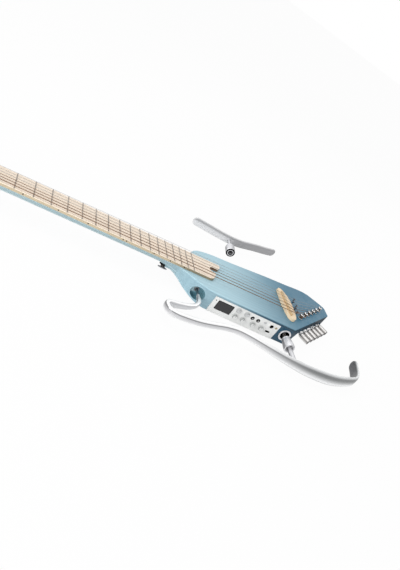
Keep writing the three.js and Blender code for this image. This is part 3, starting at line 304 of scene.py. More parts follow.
class EffectLibrary:
    """Builds each shared node group once."""

    def __init__(self) -> None:
        """Starts with no group built."""
        self._built: dict[Effect, bpy.types.NodeTree] = {}

    def group(self, effect: Effect) -> bpy.types.NodeTree:
        """Gives an effect's node group, built the first time it is asked for.

        Args:
            effect: the effect.

        Returns:
            The group's tree.
        """
        if effect not in self._built:
            makers: dict[Effect, Callable[[], bpy.types.NodeTree]] = {
                Effect.GRAIN: self._grain,
                Effect.SPECKLE: self._speckle,
                Effect.BRUSHED: self._brushed,
                Effect.DUST: self._dust,
                Effect.EDGES: self._edges,
            }
            self._built[effect] = makers[effect]()
        return self._built[effect]

    def use(self, nodes: Nodes, effect: Effect, **inputs: object) -> Sequence[object]:
        """Places an effect in a material.

        Args:
            nodes: the material's nodes.
            effect: which effect.
            **inputs: values or sockets for the group's inputs.

        Returns:
            The group node's outputs.
        """
        node = nodes.add("ShaderNodeGroup", node_tree=self.group(effect))
        for name, value in inputs.items():
            nodes.feed(node.inputs[name], value)
        return node.outputs

    @staticmethod
    def _blank(
        effect: Effect, outputs: Iterable[str], vector: bool = True, **defaults: float
    ) -> tuple[bpy.types.NodeTree, Nodes, Sequence[object], Sequence[object]]:
        """Makes an empty group.

        Args:
            effect: the effect that names the group.
            outputs: names of float outputs.
            vector: whether the group takes coordinates.
            **defaults: names of its float inputs and their defaults.

        Returns:
            The tree, its nodes, what its input node gives and what its output node takes.
        """
        tree = bpy.data.node_groups.new(effect.value, "ShaderNodeTree")
        if vector:
            tree.interface.new_socket(name="Vector", in_out="INPUT", socket_type="NodeSocketVector")
        for name, default in defaults.items():
            socket = tree.interface.new_socket(name=name, in_out="INPUT", socket_type="NodeSocketFloat")
            socket.default_value = default
        for name in outputs:
            tree.interface.new_socket(name=name, in_out="OUTPUT", socket_type="NodeSocketFloat")
        nodes = Nodes(tree)
        return tree, nodes, nodes.add("NodeGroupInput").outputs, nodes.add("NodeGroupOutput").inputs

    def _grain(self) -> bpy.types.NodeTree:
        """Long wood grain: broad bands, fine streaks and pores.

        Returns:
            The group's tree.
        """
        outputs = ("Bands", "Streaks", "Height")
        tree, nodes, given, out = self._blank(Effect.GRAIN, outputs, Scale=60, Warp=0.4)
        stretched = nodes.mapped(given["Vector"], (0.05, 1, 1))
        wave = nodes.add("ShaderNodeTexWave", wave_type="BANDS", bands_direction="Y")
        for name, value in (
            ("Vector", stretched), ("Scale", given["Scale"]), ("Distortion", 6), ("Detail", 3),
            ("Detail Scale", 1.4),
        ):
            nodes.feed(wave.inputs[name], value)
        fine = nodes.noise(stretched, nodes.times(given["Scale"], 9), 5)
        warped = nodes.math("MULTIPLY_ADD", fine, given["Warp"], wave.outputs["Fac"])
        nodes.link(nodes.math("MULTIPLY", warped, 0.8, clamp=True), out["Bands"])
        streaks = nodes.spread(fine, (0.42, 0.66))
        nodes.link(streaks, out["Streaks"])
        nodes.link(nodes.math("MULTIPLY_ADD", streaks, 0.6), out["Height"])
        return tree

    def _speckle(self) -> bpy.types.NodeTree:
        """Fine even grain of a moulded or sprayed surface.

        Returns:
            The group's tree.
        """
        tree, nodes, given, out = self._blank(Effect.SPECKLE, ("Mask", "Clouds"), Scale=900)
        for name, factor, ends in (("Mask", 1.0, (0.35, 0.65)), ("Clouds", 0.02, (0.3, 0.7))):
            noise = nodes.noise(given["Vector"], nodes.times(given["Scale"], factor), 4)
            nodes.link(nodes.spread(noise, ends), out[name])
        return tree

    def _brushed(self) -> bpy.types.NodeTree:
        """Lines that a brush or a lathe leaves, drawn out along the vector's X.

        Returns:
            The group's tree.
        """
        tree, nodes, given, out = self._blank(Effect.BRUSHED, ("Mask", "Smudge"), Scale=700)
        lines = nodes.noise(nodes.mapped(given["Vector"], (0.02, 1, 1)), given["Scale"], 6)
        nodes.link(nodes.spread(lines, (0.3, 0.7)), out["Mask"])
        nodes.link(nodes.spread(nodes.noise(given["Vector"], 35, 2), (0.4, 0.7)), out["Smudge"])
        return tree

    def _dust(self) -> bpy.types.NodeTree:
        """A thin film where a surface faces up.

        Returns:
            The group's tree.
        """
        tree, nodes, given, out = self._blank(Effect.DUST, ("Mask",), Amount=0.2)
        up = nodes.spread(nodes.split(nodes.geometry("Normal"))[2], (0.3, 1))
        film = nodes.times(up, nodes.spread(nodes.noise(given["Vector"], 240, 5), (0.35, 0.8)))
        nodes.link(nodes.math("MULTIPLY", film, given["Amount"], clamp=True), out["Mask"])
        return tree

    def _edges(self) -> bpy.types.NodeTree:
        """Edges that handling has rubbed, found where a rounded normal leaves the true one.

        Returns:
            The group's tree.
        """
        tree, nodes, given, out = self._blank(Effect.EDGES, ("Mask",), vector=False, Radius=0.5 * MM)
        rounded = nodes.add("ShaderNodeBevel", samples=4)
        nodes.link(given["Radius"], rounded.inputs["Radius"])
        dot = nodes.add("ShaderNodeVectorMath", operation="DOT_PRODUCT")
        nodes.link(rounded.outputs["Normal"], dot.inputs[0])
        nodes.link(nodes.geometry("Normal"), dot.inputs[1])
        nodes.link(nodes.spread(dot.outputs["Value"], (0.995, 0.85)), out["Mask"])
        return tree


EFFECTS = EffectLibrary()


class Direction(Enum):
    """Which way brushed lines run over a piece."""

    ALONG_X = (0.0, 0.0, 0.0)
    ALONG_Y = (0.0, 0.0, math.pi / 2)
    ALONG_Z = (0.0, math.pi / 2, 0.0)


@dataclass(frozen=True)
class Finish:
    """A finish that becomes one material.

    Attributes:
        name: the material's name.
        colour: its main colour, linear.
        roughness: its mean roughness.
    """

    name: str
    colour: Colour
    roughness: float = 0.4

    def material(self) -> bpy.types.Material:
        """Gives the material, built the first time it is asked for.

        Returns:
            The material.
        """
        title = f"{self.name}_finish"
        found = bpy.data.materials.get(title)
        if found is not None:
            return found
        made = bpy.data.materials.new(title)
        made.use_nodes = True
        made.node_tree.nodes.clear()
        nodes = Nodes(made.node_tree)
        shader = nodes.add("ShaderNodeBsdfPrincipled")
        shader.inputs["Roughness"].default_value = self.roughness
        shader.inputs["Base Color"].default_value = (*self.colour, 1)
        output = nodes.add("ShaderNodeOutputMaterial")
        nodes.link(shader.outputs[0], output.inputs["Surface"])
        self.paint(nodes, shader)
        made.diffuse_color = (*self.colour, 1)
        return made

    def paint(self, nodes: Nodes, shader: bpy.types.Node) -> None:
        """Adds what this finish has beyond a plain shader."""

    def roughen(self, nodes: Nodes, shader: bpy.types.Node, mask: object, less: float, more: float) -> None:
        """Varies the roughness round its mean, from less where a mask is 0 to more where it is 1."""
        ends = (self.roughness + less, self.roughness + more)
        nodes.link(nodes.spread(mask, (0, 1), ends), shader.inputs["Roughness"])

    def bump(
        self, nodes: Nodes, shader: bpy.types.Node, height: object, strength: float, depth: float
    ) -> None:
        """Feeds a height to the shader's normal.

        Args:
            nodes: the material's nodes.
            shader: the shader.
            height: the height's socket.
            strength: how much of it shows.
            depth: its depth in metres.
        """
        node = nodes.add("ShaderNodeBump")
        node.inputs["Strength"].default_value = strength
        node.inputs["Distance"].default_value = depth
        nodes.link(height, node.inputs["Height"])
        nodes.link(node.outputs["Normal"], shader.inputs["Normal"])


@dataclass(frozen=True)
class Lacquer(Finish):
    """Satin lacquer with painted shade: its blue deepens from the head to the tail, where the light falls
    off, and darkens on the sides, under the top's edge and on the tail face.

    Attributes:
        shaded_tail_colour: its colour at the tail, where painted shade has darkened it.
        shade_and_grain_colour: the painted shade's tone on the sides and under the top's edge, also of grain
            and sheen.
        fade: where along X its own colour turns into the tail's.
        neck_colour: its colour along the neck.
        neck_fade: where along X it turns into that.
        upright: how far up a face may look that takes the sides' painted shade.
        side_shade_fade: where along X the sides' painted shade grows to its full share.
        side_shade_share: that share.
        brink_shadow: the heights between which a painted shadow lies along the sides under the top's edge.
        brink_shadow_fade: where along X it does so.
        behind: how far to the tail a side looks that falls to the painted shadow tone.
        tail_face_shade_fade: where along X it does so.
        shadow_colour: that painted shadow tone.
        shade_below: the height under which the whole film falls to it as painted shade, if any.
    """

    shaded_tail_colour: Colour = (0.1, 0.2, 0.3)
    shade_and_grain_colour: Colour = (0.1, 0.2, 0.3)
    fade: Ramp = (-0.2, 0.1)
    neck_colour: Colour = (0.5, 0.6, 0.65)
    neck_fade: Ramp = (-0.2, -0.27)
    upright: Ramp = (0.75, 0.25)
    side_shade_fade: Ramp = (-0.19, 0.01)
    side_shade_share: float = 0.95
    brink_shadow: Ramp = (0.031, 0.035)
    brink_shadow_fade: Ramp = (-0.12, 0.0)
    behind: Ramp = (0.35, 0.6)
    tail_face_shade_fade: Ramp = (0.03, 0.1)
    shadow_colour: Colour = (0.008, 0.02, 0.033)
    shade_below: float | None = None

    def paint(self, nodes: Nodes, shader: bpy.types.Node) -> None:
        """Blends the blues over the form with painted shade, then lays faint wood, a painted sheen, spray
        grain and dust on them.

        Args:
            nodes: the material's nodes.
            shader: the material's shader.
        """
        place = nodes.place()
        x, _, z = nodes.split(place)
        normal_x, _, normal_z = nodes.split(nodes.geometry("True Normal"))
        # Painted shade: the blue deepens from the head to the tail, where the light falls off.
        base = nodes.mix(nodes.spread(x, self.fade), self.colour, self.shaded_tail_colour)
        base = nodes.mix(nodes.spread(x, self.neck_fade), base, self.neck_colour)
        # Painted shade: below a given height the whole film falls to the shadow tone.
        if self.shade_below is not None:
            low = nodes.spread(z, (self.shade_below + 2 * MM, self.shade_below - 2 * MM))
            base = nodes.mix(low, base, self.shadow_colour)
        # Painted shade: upright sides turn darker, more so towards the tail.
        side = nodes.spread(nodes.math("ABSOLUTE", normal_z), self.upright)
        side_shade = nodes.spread(x, self.side_shade_fade, (0.28, self.side_shade_share))
        base = nodes.lay(base, self.shade_and_grain_colour, side, side_shade)
        # Painted shadow: a dark line on the sides just under the top's edge.
        brink_shadow = nodes.times(nodes.spread(z, self.brink_shadow), side)
        base = nodes.lay(base, self.shade_and_grain_colour, brink_shadow, nodes.spread(x, self.brink_shadow_fade, (0, 0.85)))
        # Painted shade: sides that face the tail fall to the shadow tone.
        behind = nodes.times(nodes.spread(normal_x, self.behind), side)
        base = nodes.lay(base, self.shadow_colour, behind, nodes.spread(x, self.tail_face_shade_fade, (0.3, 0.96)))
        grain = EFFECTS.use(nodes, Effect.GRAIN, Vector=place, Scale=38.0, Warp=0.5)
        base = nodes.lay(base, self.shade_and_grain_colour, grain["Bands"], 0.07)
        # Painted sheen: faint lengthwise streaks of a satin reflection, in the darker tone.
        sheen = EFFECTS.use(nodes, Effect.BRUSHED, Vector=place, Scale=420.0)
        base = nodes.lay(base, self.shade_and_grain_colour, sheen["Mask"], 0.1)
        fine = EFFECTS.use(nodes, Effect.SPECKLE, Vector=place, Scale=1400.0)
        base = nodes.lay(base, (0.9, 0.95, 1.0), fine["Mask"], 0.02)
        dust = EFFECTS.use(nodes, Effect.DUST, Vector=place, Amount=0.03)
        nodes.link(nodes.mix(dust["Mask"], base, (0.8, 0.82, 0.82)), shader.inputs["Base Color"])
        self.roughen(nodes, shader, fine["Clouds"], -0.04, 0.06)
        # The tail face's painted shade also takes most of the gloss away there.
        nodes.link(nodes.spread(behind, (0, 1), (0.3, 0.02)), shader.inputs["Specular IOR Level"])
        self.bump(nodes, shader, fine["Mask"], 0.12, 0.02 * MM)


@dataclass(frozen=True)
class Wood(Finish):
    """Pale open wood with its grain along X.

    Attributes:
        dark: the tone of its late wood and pores.
        far: its main colour towards the tail, when that differs.
        far_fade: where along X it turns into that.
        grain_scale: how close its bands lie.
        turn: the grain's turn about Z, in radians.
    """

    dark: Colour = (0.5, 0.35, 0.2)
    far: Colour | None = None
    far_fade: Ramp = (-0.27, -0.2)
    grain_scale: float = 90.0
    turn: float = 0.0

    def paint(self, nodes: Nodes, shader: bpy.types.Node) -> None:
        """Draws bands, streaks and short flecks, and lets the pores sink in.

        Args:
            nodes: the material's nodes.
            shader: the material's shader.
        """
        place = nodes.place(turn=(0, 0, self.turn))
        grain = EFFECTS.use(nodes, Effect.GRAIN, Vector=place, Scale=self.grain_scale, Warp=0.6)
        base: object = self.colour
        if self.far is not None:
            base = nodes.mix(nodes.spread(nodes.split(place)[0], self.far_fade), self.colour, self.far)
        base = nodes.lay(base, self.dark, grain["Bands"], 0.16)
        base = nodes.lay(base, self.dark, grain["Streaks"], 0.14)
        flecks = nodes.noise(nodes.place((0.2, 1, 1), (0, 0, self.turn)), 1600, 2)
        base = nodes.lay(base, self.dark, nodes.spread(flecks, (0.6, 0.75)), 0.18)
        nodes.link(base, shader.inputs["Base Color"])
        self.roughen(nodes, shader, grain["Streaks"], 0, 0.12)
        self.bump(nodes, shader, grain["Height"], 0.2, 0.05 * MM)


@dataclass(frozen=True)
class Metal(Finish):
    """Bare or plated metal with fine lines, smudges and edges rubbed bright.

    Attributes:
        direction: the way its lines run.
        metallic: how metallic it is; satin surfaces scatter more.
        lines: how strongly they show.
        line_scale: how close they lie.
        shade: the tone between its lines.
        relief: how deep they look.
    """

    direction: Direction = Direction.ALONG_X
    metallic: float = 1.0
    lines: float = 0.3
    line_scale: float = 900.0
    shade: Colour = (0.3, 0.3, 0.32)
    relief: float = 0.08

    def paint(self, nodes: Nodes, shader: bpy.types.Node) -> None:
        """Varies tone and roughness along the lines.

        Args:
            nodes: the material's nodes.
            shader: the material's shader.
        """
        shader.inputs["Metallic"].default_value = self.metallic
        place = nodes.place(turn=self.direction.value)
        brushed = EFFECTS.use(nodes, Effect.BRUSHED, Vector=place, Scale=self.line_scale)
        base = nodes.lay(self.colour, self.shade, brushed["Mask"], self.lines)
        edges = EFFECTS.use(nodes, Effect.EDGES, Radius=0.4 * MM)
        base = nodes.lay(base, (0.9, 0.9, 0.91), edges["Mask"], 0.5)
        nodes.link(self.tone(nodes, base), shader.inputs["Base Color"])
        self.roughen(nodes, shader, brushed["Smudge"], 0, 0.08)
        self.bump(nodes, shader, brushed["Mask"], self.relief, 0.02 * MM)

    def tone(self, nodes: Nodes, base: object) -> object:
        """Lays painted reflection and shade over the brushed ground, if this metal has any, and gives the
        result.
        """
        return base


@dataclass(frozen=True)
class BandTones:
    """A swept band's painted reflection and shade tones at one end of its route.

    Attributes:
        face: its outer face.
        reflection_stripe: the painted reflection stripe along that face.
        inner: its inner face, painted dark as shade at the tail end.
        rim: its upper edge, painted light at the front and grey at the tail.
        line: the painted dark line along its lower edge.
    """

    face: Colour
    reflection_stripe: Colour
    inner: Colour
    rim: Colour
    line: Colour


@dataclass(frozen=True)
class BandMetal(Metal):
    """Satin alloy on a swept band, with painted reflection and shade round its section and along its route.

    Places on the section run from -1 to 1: outwards to inwards, and from the lower edge to the
    upper one. Of each pair, the first place has none of the tone and the second has all of it,
    but stripe_high runs the other way.

    Attributes:
        near: the tones at the route's start.
        far: the tones at its end.
        change: the share of the route where near turns into far.
        stripe_low: how high on the section the stripe rises, near.
        stripe_core: the same at the far end.
        stripe_high: how high it falls from full to nothing, near.
        stripe_crest: the same at the far end, from nothing to full.
        outer_side: how far out the outer face's tones reach.
        inner_side: how far in the inner face's tones reach.
        crease_shade: the painted shade of the thin line along the stripe's upper edge and of the front turn.
        crease_low: the lower side of that line.
        crease_high: its upper side.
        front_turn: how far the faces look forwards that take the crease's painted shade.
        tail_turn: how far they look to the tail where they take the stripe's tone as painted shade.
        inner_line_low: the lower side of the inner face's painted dark line.
        inner_line_high: its upper side.
        rim_side: where the rim starts.
        line_side: where the lower line starts.
        cover: how much the tones cover the brushed ground.
        shoulder: how much of the far rim's outer part takes the stripe's tone.
    """

    near: BandTones | None = None
    far: BandTones | None = None
    change: Ramp = (0.4, 0.8)
    stripe_low: Ramp = (-0.85, 0.35)
    stripe_core: Ramp = (-0.5, 0.05)
    stripe_high: Ramp = (0.55, 0.7)
    stripe_crest: Ramp = (0.95, 0.4)
    outer_side: Ramp = (0.1, -0.3)
    inner_side: Ramp = (0.0, 0.5)
    crease_shade: Colour = (0.14, 0.14, 0.14)
    crease_low: Ramp = (0.22, 0.4)
    crease_high: Ramp = (0.68, 0.56)
    front_turn: Ramp = (-0.3, -0.85)
    tail_turn: Ramp = (0.35, 0.8)
    inner_line_low: Ramp = (0.3, 0.55)
    inner_line_high: Ramp = (0.9, 0.7)
    rim_side: Ramp = (0.72, 0.92)
    line_side: Ramp = (-0.7, -0.88)
    cover: float = 0.85
    shoulder: float = 0.0

    def tone(self, nodes: Nodes, base: object) -> object:
        """Paints reflection and shade on the faces by the attributes that the sweep leaves on them.

        Args:
            nodes: the material's nodes.
            base: the colour so far.

        Returns:
            The toned colour's socket.
        """
        out, up, run = (
            nodes.add("ShaderNodeAttribute", attribute_name=name).outputs["Fac"] for name in PROFILE
        )
        normal_x = nodes.split(nodes.geometry("True Normal"))[0]
        late = nodes.spread(run, self.change)
        early = nodes.math("SUBTRACT", 1.0, late)
        outer = nodes.spread(out, self.outer_side)
        inner = nodes.spread(out, self.inner_side)
        tones = {
            part: nodes.mix(late, getattr(self.near, part), getattr(self.far, part))
            for part in ("face", "reflection_stripe", "inner", "rim", "line")
        }

        def between(low: Ramp, high: Ramp) -> object:
            """A mask for a line that runs along the section between two heights."""
            return nodes.times(nodes.spread(up, low), nodes.spread(up, high))

        def along(near: Ramp, far: Ramp) -> object:
            """A mask over the section that changes along the route."""
            start, end = nodes.times(nodes.spread(up, near), early), nodes.times(nodes.spread(up, far), late)
            return nodes.math("ADD", start, end)

        # Painted reflection: a dark stripe along the outer face, with a thin painted shade line along its
        # upper edge.
        reflection_stripe = nodes.times(
            along(self.stripe_low, self.stripe_core), along(self.stripe_high[::-1], self.stripe_crest), outer
        )
        thin = nodes.times(between(self.crease_low, self.crease_high), outer)
        # Painted shade: faces turned forwards near the start, and to the tail near the end, darken.
        front = nodes.times(nodes.spread(normal_x, self.front_turn), nodes.spread(up, (-0.7, 0.5)), early)
        away = nodes.times(nodes.spread(normal_x, self.tail_turn), late)
        # Painted shade: a dark line along the inner face; the rim's outer part greys near the end.
        groove = nodes.times(between(self.inner_line_low, self.inner_line_high), inner)
        brow = nodes.times(nodes.spread(out, (0.9, -0.9)), late, self.shoulder)
        base = nodes.mix(self.cover, base, tones["face"])
        for tone, mask, strength in (
            (tones["reflection_stripe"], reflection_stripe, 0.9),
            (self.crease_shade, thin, nodes.math("SUBTRACT", 0.7, nodes.times(late, 0.55))),
            (self.crease_shade, front, 0.45),
            (tones["reflection_stripe"], away, 0.75),
            (tones["inner"], inner, 1.0),
            (tones["reflection_stripe"], groove, 0.6),
            (tones["rim"], nodes.spread(up, self.rim_side), nodes.math("SUBTRACT", 0.9, brow)),
            (tones["line"], nodes.spread(up, self.line_side), 0.9),
        ):
            base = nodes.lay(base, tone, mask, strength)
        return base


@dataclass(frozen=True)
class StreakMetal(Metal):
    """Polished metal on a round barrel, with painted streaks that stand in for the reflections and shade of a
    bright room.

    Attributes:
        dark: the painted dark reflection streak low on the side.
        crown: the painted reflection tone along the top.
        axis: the direction that the streaks are laid by, as a normal's shares of X and Z.
        dark_from: where the dark streak rises from nothing to full.
        dark_to: where it falls from full to nothing.
        crown_from: where the crown's tone rises from nothing to full.
    """

    dark: Colour = (0.1, 0.1, 0.1)
    crown: Colour = (0.3, 0.3, 0.3)
    axis: tuple[float, float] = (0.0, 1.0)
    dark_from: Ramp = (-0.1, 0.12)
    dark_to: Ramp = (0.44, 0.58)
    crown_from: Ramp = (0.84, 0.95)

    def tone(self, nodes: Nodes, base: object) -> object:
        """Lays the painted streaks by how far the surface faces along the axis.

        Args:
            nodes: the material's nodes.
            base: the colour so far.

        Returns:
            The toned colour's socket.
        """
        x, _, z = nodes.split(nodes.geometry("Normal"))
        facing = nodes.math("ADD", nodes.times(x, self.axis[0]), nodes.times(z, self.axis[1]))
        streak = nodes.times(nodes.spread(facing, self.dark_from), nodes.spread(facing, self.dark_to[::-1]))
        base = nodes.lay(base, self.dark, streak, 0.9)
        return nodes.lay(base, self.crown, nodes.spread(facing, self.crown_from), 0.85)


@dataclass(frozen=True)
class Plastic(Finish):
    """Moulded plastic with a fine spark-eroded grain.

    Attributes:
        grain: how deep that grain is.
        soil: the tone of handling marks.
        coat: how much clear gloss lies on it.
        shine: how strongly the bare surface reflects.
    """

    grain: float = 0.25
    soil: Colour = (0.5, 0.5, 0.48)
    coat: float = 0.0
    shine: float = 0.5

    def paint(self, nodes: Nodes, shader: bpy.types.Node) -> None:
        """Adds grain, faint clouds of soil and dust.

        Args:
            nodes: the material's nodes.
            shader: the material's shader.
        """
        shader.inputs["Specular IOR Level"].default_value = self.shine
        shader.inputs["Coat Weight"].default_value = self.coat
        place = nodes.place()
        fine = EFFECTS.use(nodes, Effect.SPECKLE, Vector=place, Scale=2600.0)
        base = nodes.lay(self.colour, self.soil, fine["Clouds"], 0.07)
        base = nodes.lay(base, self.soil, fine["Mask"], 0.05)
        dust = EFFECTS.use(nodes, Effect.DUST, Vector=place, Amount=0.06)
        nodes.link(nodes.mix(dust["Mask"], base, (0.75, 0.75, 0.74)), shader.inputs["Base Color"])
        self.roughen(nodes, shader, fine["Mask"], -0.05, 0.08)
        self.bump(nodes, shader, fine["Mask"], self.grain, 0.02 * MM)


@dataclass(frozen=True)
class Felt(Finish):
    """Pressed felt: matt, fibrous and a little fuzzy.

    Attributes:
        fibre: the tone of its upper fibres.
    """

    fibre: Colour = (0.012, 0.012, 0.014)

    def paint(self, nodes: Nodes, shader: bpy.types.Node) -> None:
        """Lays short fibres over a dark ground.

        Args:
            nodes: the material's nodes.
            shader: the material's shader.
        """
        fibres = nodes.noise(nodes.place((1, 1, 3)), 2200, 6, 0.7)
        base = nodes.mix(nodes.spread(fibres, (0.4, 0.7)), self.colour, self.fibre)
        nodes.link(base, shader.inputs["Base Color"])
        shader.inputs["Sheen Weight"].default_value = 0.04
        shader.inputs["Specular IOR Level"].default_value = 0.1
        self.bump(nodes, shader, fibres, 0.6, 0.15 * MM)


@dataclass(frozen=True)
class WoundWire(Finish):
    """A string: wrapped in fine wire, or plain with a drawn surface.

    Attributes:
        pitch: how fast the wrap's rings follow, in radians per metre.
        depth: how deep the wrap's grooves are.
        groove: the tone in the grooves.
        metallic: how metallic it is.
    """

    pitch: float = 2400.0
    depth: float = 0.08 * MM
    groove: Colour = (0.1, 0.07, 0.04)
    metallic: float = 1.0

    def paint(self, nodes: Nodes, shader: bpy.types.Node) -> None:
        """Draws the wrap's rings along X.

        Args:
            nodes: the material's nodes.
            shader: the material's shader.
        """
        wave = nodes.add("ShaderNodeTexWave", wave_type="BANDS", bands_direction="X", wave_profile="SIN")
        wave.inputs["Scale"].default_value = self.pitch / 20  # scale 1 is 20 radians a metre
        nodes.link(nodes.place(), wave.inputs["Vector"])
        smudge = nodes.spread(nodes.noise(nodes.place(), 60, 3), (0.4, 0.7))
        base = nodes.lay(self.colour, self.groove, wave.outputs["Fac"], 0.3)
        nodes.link(nodes.lay(base, self.groove, smudge, 0.3), shader.inputs["Base Color"])
        shader.inputs["Metallic"].default_value = self.metallic
        self.bump(nodes, shader, wave.outputs["Fac"], 0.2, self.depth)


@dataclass(frozen=True)
class Glass(Finish):
    """A dark display under clear glass.

    Attributes:
        lit: the faint tone towards the display's upper front corner.
        fade: where along X it turns into that.
    """

    lit: Colour = (0.1, 0.1, 0.12)
    fade: Ramp = (-0.152, -0.112)

    def paint(self, nodes: Nodes, shader: bpy.types.Node) -> None:
        """Fades the display's tone and lays a fine pixel grid under the glass.

        Args:
            nodes: the material's nodes.
            shader: the material's shader.
        """
        place = nodes.place()
        base = nodes.mix(nodes.spread(nodes.split(place)[0], self.fade), self.colour, self.lit)
        grid = nodes.noise(place, 3200, 1)
        nodes.link(nodes.lay(base, (0.2, 0.2, 0.22), grid, 0.04), shader.inputs["Base Color"])
        shader.inputs["Coat Weight"].default_value = 0.2
        shader.inputs["Coat Roughness"].default_value = 0.04


@dataclass(frozen=True)
class CircuitFoil(Finish):
    """A board's resist over copper tracks.

    Attributes:
        track: the tone over the copper.
    """

    track: Colour = (0.1, 0.4, 0.2)

    def paint(self, nodes: Nodes, shader: bpy.types.Node) -> None:
        """Draws tracks as a stepped pattern.

        Args:
            nodes: the material's nodes.
            shader: the material's shader.
        """
        brick = nodes.add("ShaderNodeTexBrick")
        for name, value in (
            ("Scale", 260), ("Mortar Size", 0.03), ("Vector", nodes.place(turn=(math.pi / 2, 0, 0))),
            ("Color1", (*self.colour, 1)), ("Color2", (*self.colour, 1)), ("Mortar", (*self.track, 1)),
        ):
            nodes.feed(brick.inputs[name], value)
        nodes.link(brick.outputs["Color"], shader.inputs["Base Color"])
        self.bump(nodes, shader, brick.outputs["Fac"], 0.3, 0.05 * MM)


# Painted shade: pale at the head, deepening to a dark tail colour, with the darker tone on the sides.
LACQUER = Lacquer(
    "blue_lacquer",
    linear(184, 219, 231),
    0.4,
    shaded_tail_colour=linear(42, 109, 137),
    shade_and_grain_colour=linear(24, 70, 94),
    fade=(-0.155, 0.06),
    neck_colour=linear(186, 210, 215),
)
# Painted light and shade in the front rod's recess: paler than the lacquer to lighten its shaded side, darker
# towards the tail and falling to the shadow tone below 12 mm.
RECESS_BLUE = Lacquer(
    "recess_lacquer",
    linear(214, 240, 246),
    0.42,
    shaded_tail_colour=linear(122, 164, 176),
    shade_and_grain_colour=linear(96, 138, 150),
    fade=(-0.194, -0.184),
    side_shade_share=0.2,
    shadow_colour=linear(84, 130, 142),
    neck_colour=linear(158, 196, 206),
    shade_below=12 * MM,
)
BOARD_MAPLE = Wood("board_maple", linear(253, 239, 222), 0.5, dark=linear(212, 180, 144))
# Painted shade: the board's upright sides, a darker copy of the maple that darkens again over the body.
BOARD_SIDE_SHADE = Wood(
    "board_side_shade", linear(208, 192, 164), 0.6, dark=linear(150, 132, 104), far=linear(138, 128, 106)
)
BRIDGE_MAPLE = Wood(
    "bridge_maple", linear(246, 224, 190), 0.5, dark=linear(196, 152, 104), turn=math.pi / 2, grain_scale=70
)
BARE_WOOD = Wood("pocket_wood", linear(196, 172, 138), 0.7, dark=linear(140, 108, 72), grain_scale=120)
# The notch's walls: end grain, painted much darker as the shade inside the notch.
NOTCH_WALL_SHADE = Wood("end_grain_and_shade", linear(110, 82, 58), 0.7, dark=linear(52, 36, 26), grain_scale=160)
# Painted reflection and shade: a bright band with a grey stripe at the front, and a dark stripe, a dark inner
# face and a grey lower line at the tail.
BAND_ALLOY = BandMetal(
    "band_alloy",
    linear(236, 237, 239),
    0.34,
    metallic=0.7,
    lines=0.05,
    shade=linear(190, 192, 195),
    near=BandTones(
        face=linear(246, 246, 247),
        reflection_stripe=linear(196, 196, 199),
        inner=linear(214, 215, 217),
        rim=linear(250, 250, 250),
        line=linear(178, 179, 181),
    ),
    far=BandTones(
        face=linear(242, 243, 244),
        reflection_stripe=linear(112, 114, 115),
        inner=linear(92, 93, 96),
        rim=linear(178, 180, 181),
        line=linear(140, 142, 143),
    ),
    change=(0.42, 0.72),
    stripe_core=(-0.45, 0.3),
    stripe_crest=(1.1, 0.6),
    shoulder=0.55,
    relief=0.02,
)
# Painted light and shade: the bar's near half lighter and its far half darker, a grey stripe rising to its
# upper edge on the outer face, and grey on the front turn.
REST_ALLOY = BandMetal(
    "rest_alloy",
    linear(206, 207, 209),
    0.5,
    metallic=0.2,
    lines=0.02,
    shade=linear(190, 192, 195),
    near=BandTones(
        face=linear(226, 227, 229),
        reflection_stripe=linear(150, 151, 153),
        inner=linear(190, 191, 192),
        rim=linear(214, 214, 215),
        line=linear(206, 207, 208),
    ),
    far=BandTones(
        face=linear(172, 172, 174),
        reflection_stripe=linear(166, 166, 168),
        inner=linear(170, 170, 172),
        rim=linear(216, 216, 217),
        line=linear(146, 146, 148),
    ),
    change=(0.36, 0.46),
    stripe_low=(-0.1, 0.95),
    stripe_core=(-0.1, 0.95),
    stripe_high=(1.1, 1.2),
    stripe_crest=(1.2, 1.1),
    crease_shade=linear(166, 166, 168),
    cover=1.0,
    relief=0.0,
)
# Painted shade: a dark streak where it faces -X and down, grey where it faces +X and up.
TURNED_ALLOY = StreakMetal(
    "turned_alloy",
    linear(232, 232, 235),
    0.3,
    direction=Direction.ALONG_Z,
    metallic=0.6,
    lines=0.1,
    shade=linear(176, 177, 180),
    dark=linear(112, 112, 116),
    crown=linear(142, 143, 147),
    axis=(0.84, 0.54),
    dark_from=(-1.4, -1.3),
    dark_to=(-0.9, -0.55),
    crown_from=(0.0, 0.95),
)
# Painted reflection: a dark streak where the barrel faces a little upwards, and grey along its top.
KNOB_METAL = StreakMetal(
    "knob_metal",
    linear(208, 206, 204),
    0.3,
    metallic=0.8,
    lines=0.1,
    shade=linear(150, 149, 148),
    dark=linear(74, 70, 68),
    crown=linear(150, 148, 146),
)
FRET_WIRE = Metal(
    "fret_wire", linear(174, 166, 158), 0.3, direction=Direction.ALONG_Y, shade=linear(96, 90, 84)
)
TUNER_NICKEL = Metal(
    "tuner_nickel", linear(228, 227, 226), 0.2, Direction.ALONG_Y, lines=0.15, shade=linear(130, 128, 128)
)
CUP_ALLOY = Metal("cup_alloy", linear(150, 150, 153), 0.4, metallic=0.5, lines=0.2, shade=linear(90, 90, 94))
KNOB_END = Metal("knob_end", linear(74, 73, 74), 0.4, metallic=0.5, lines=0.5, shade=linear(40, 40, 42))
POST_WAIST = Metal("post_waist", linear(84, 78, 74), 0.35, metallic=0.7, shade=linear(48, 44, 42))
DARK_STEEL = Metal("dark_steel", linear(92, 94, 98), 0.35, shade=linear(40, 41, 44))
RING_ALLOY = Metal(
    "ring_alloy", linear(226, 226, 228), 0.35, metallic=0.4, lines=0.2, shade=linear(180, 180, 184)
)
SHADED_ROD = Metal("shaded_rod", linear(74, 96, 104), 0.5, metallic=0.1, lines=0.1, shade=linear(60, 80, 88))
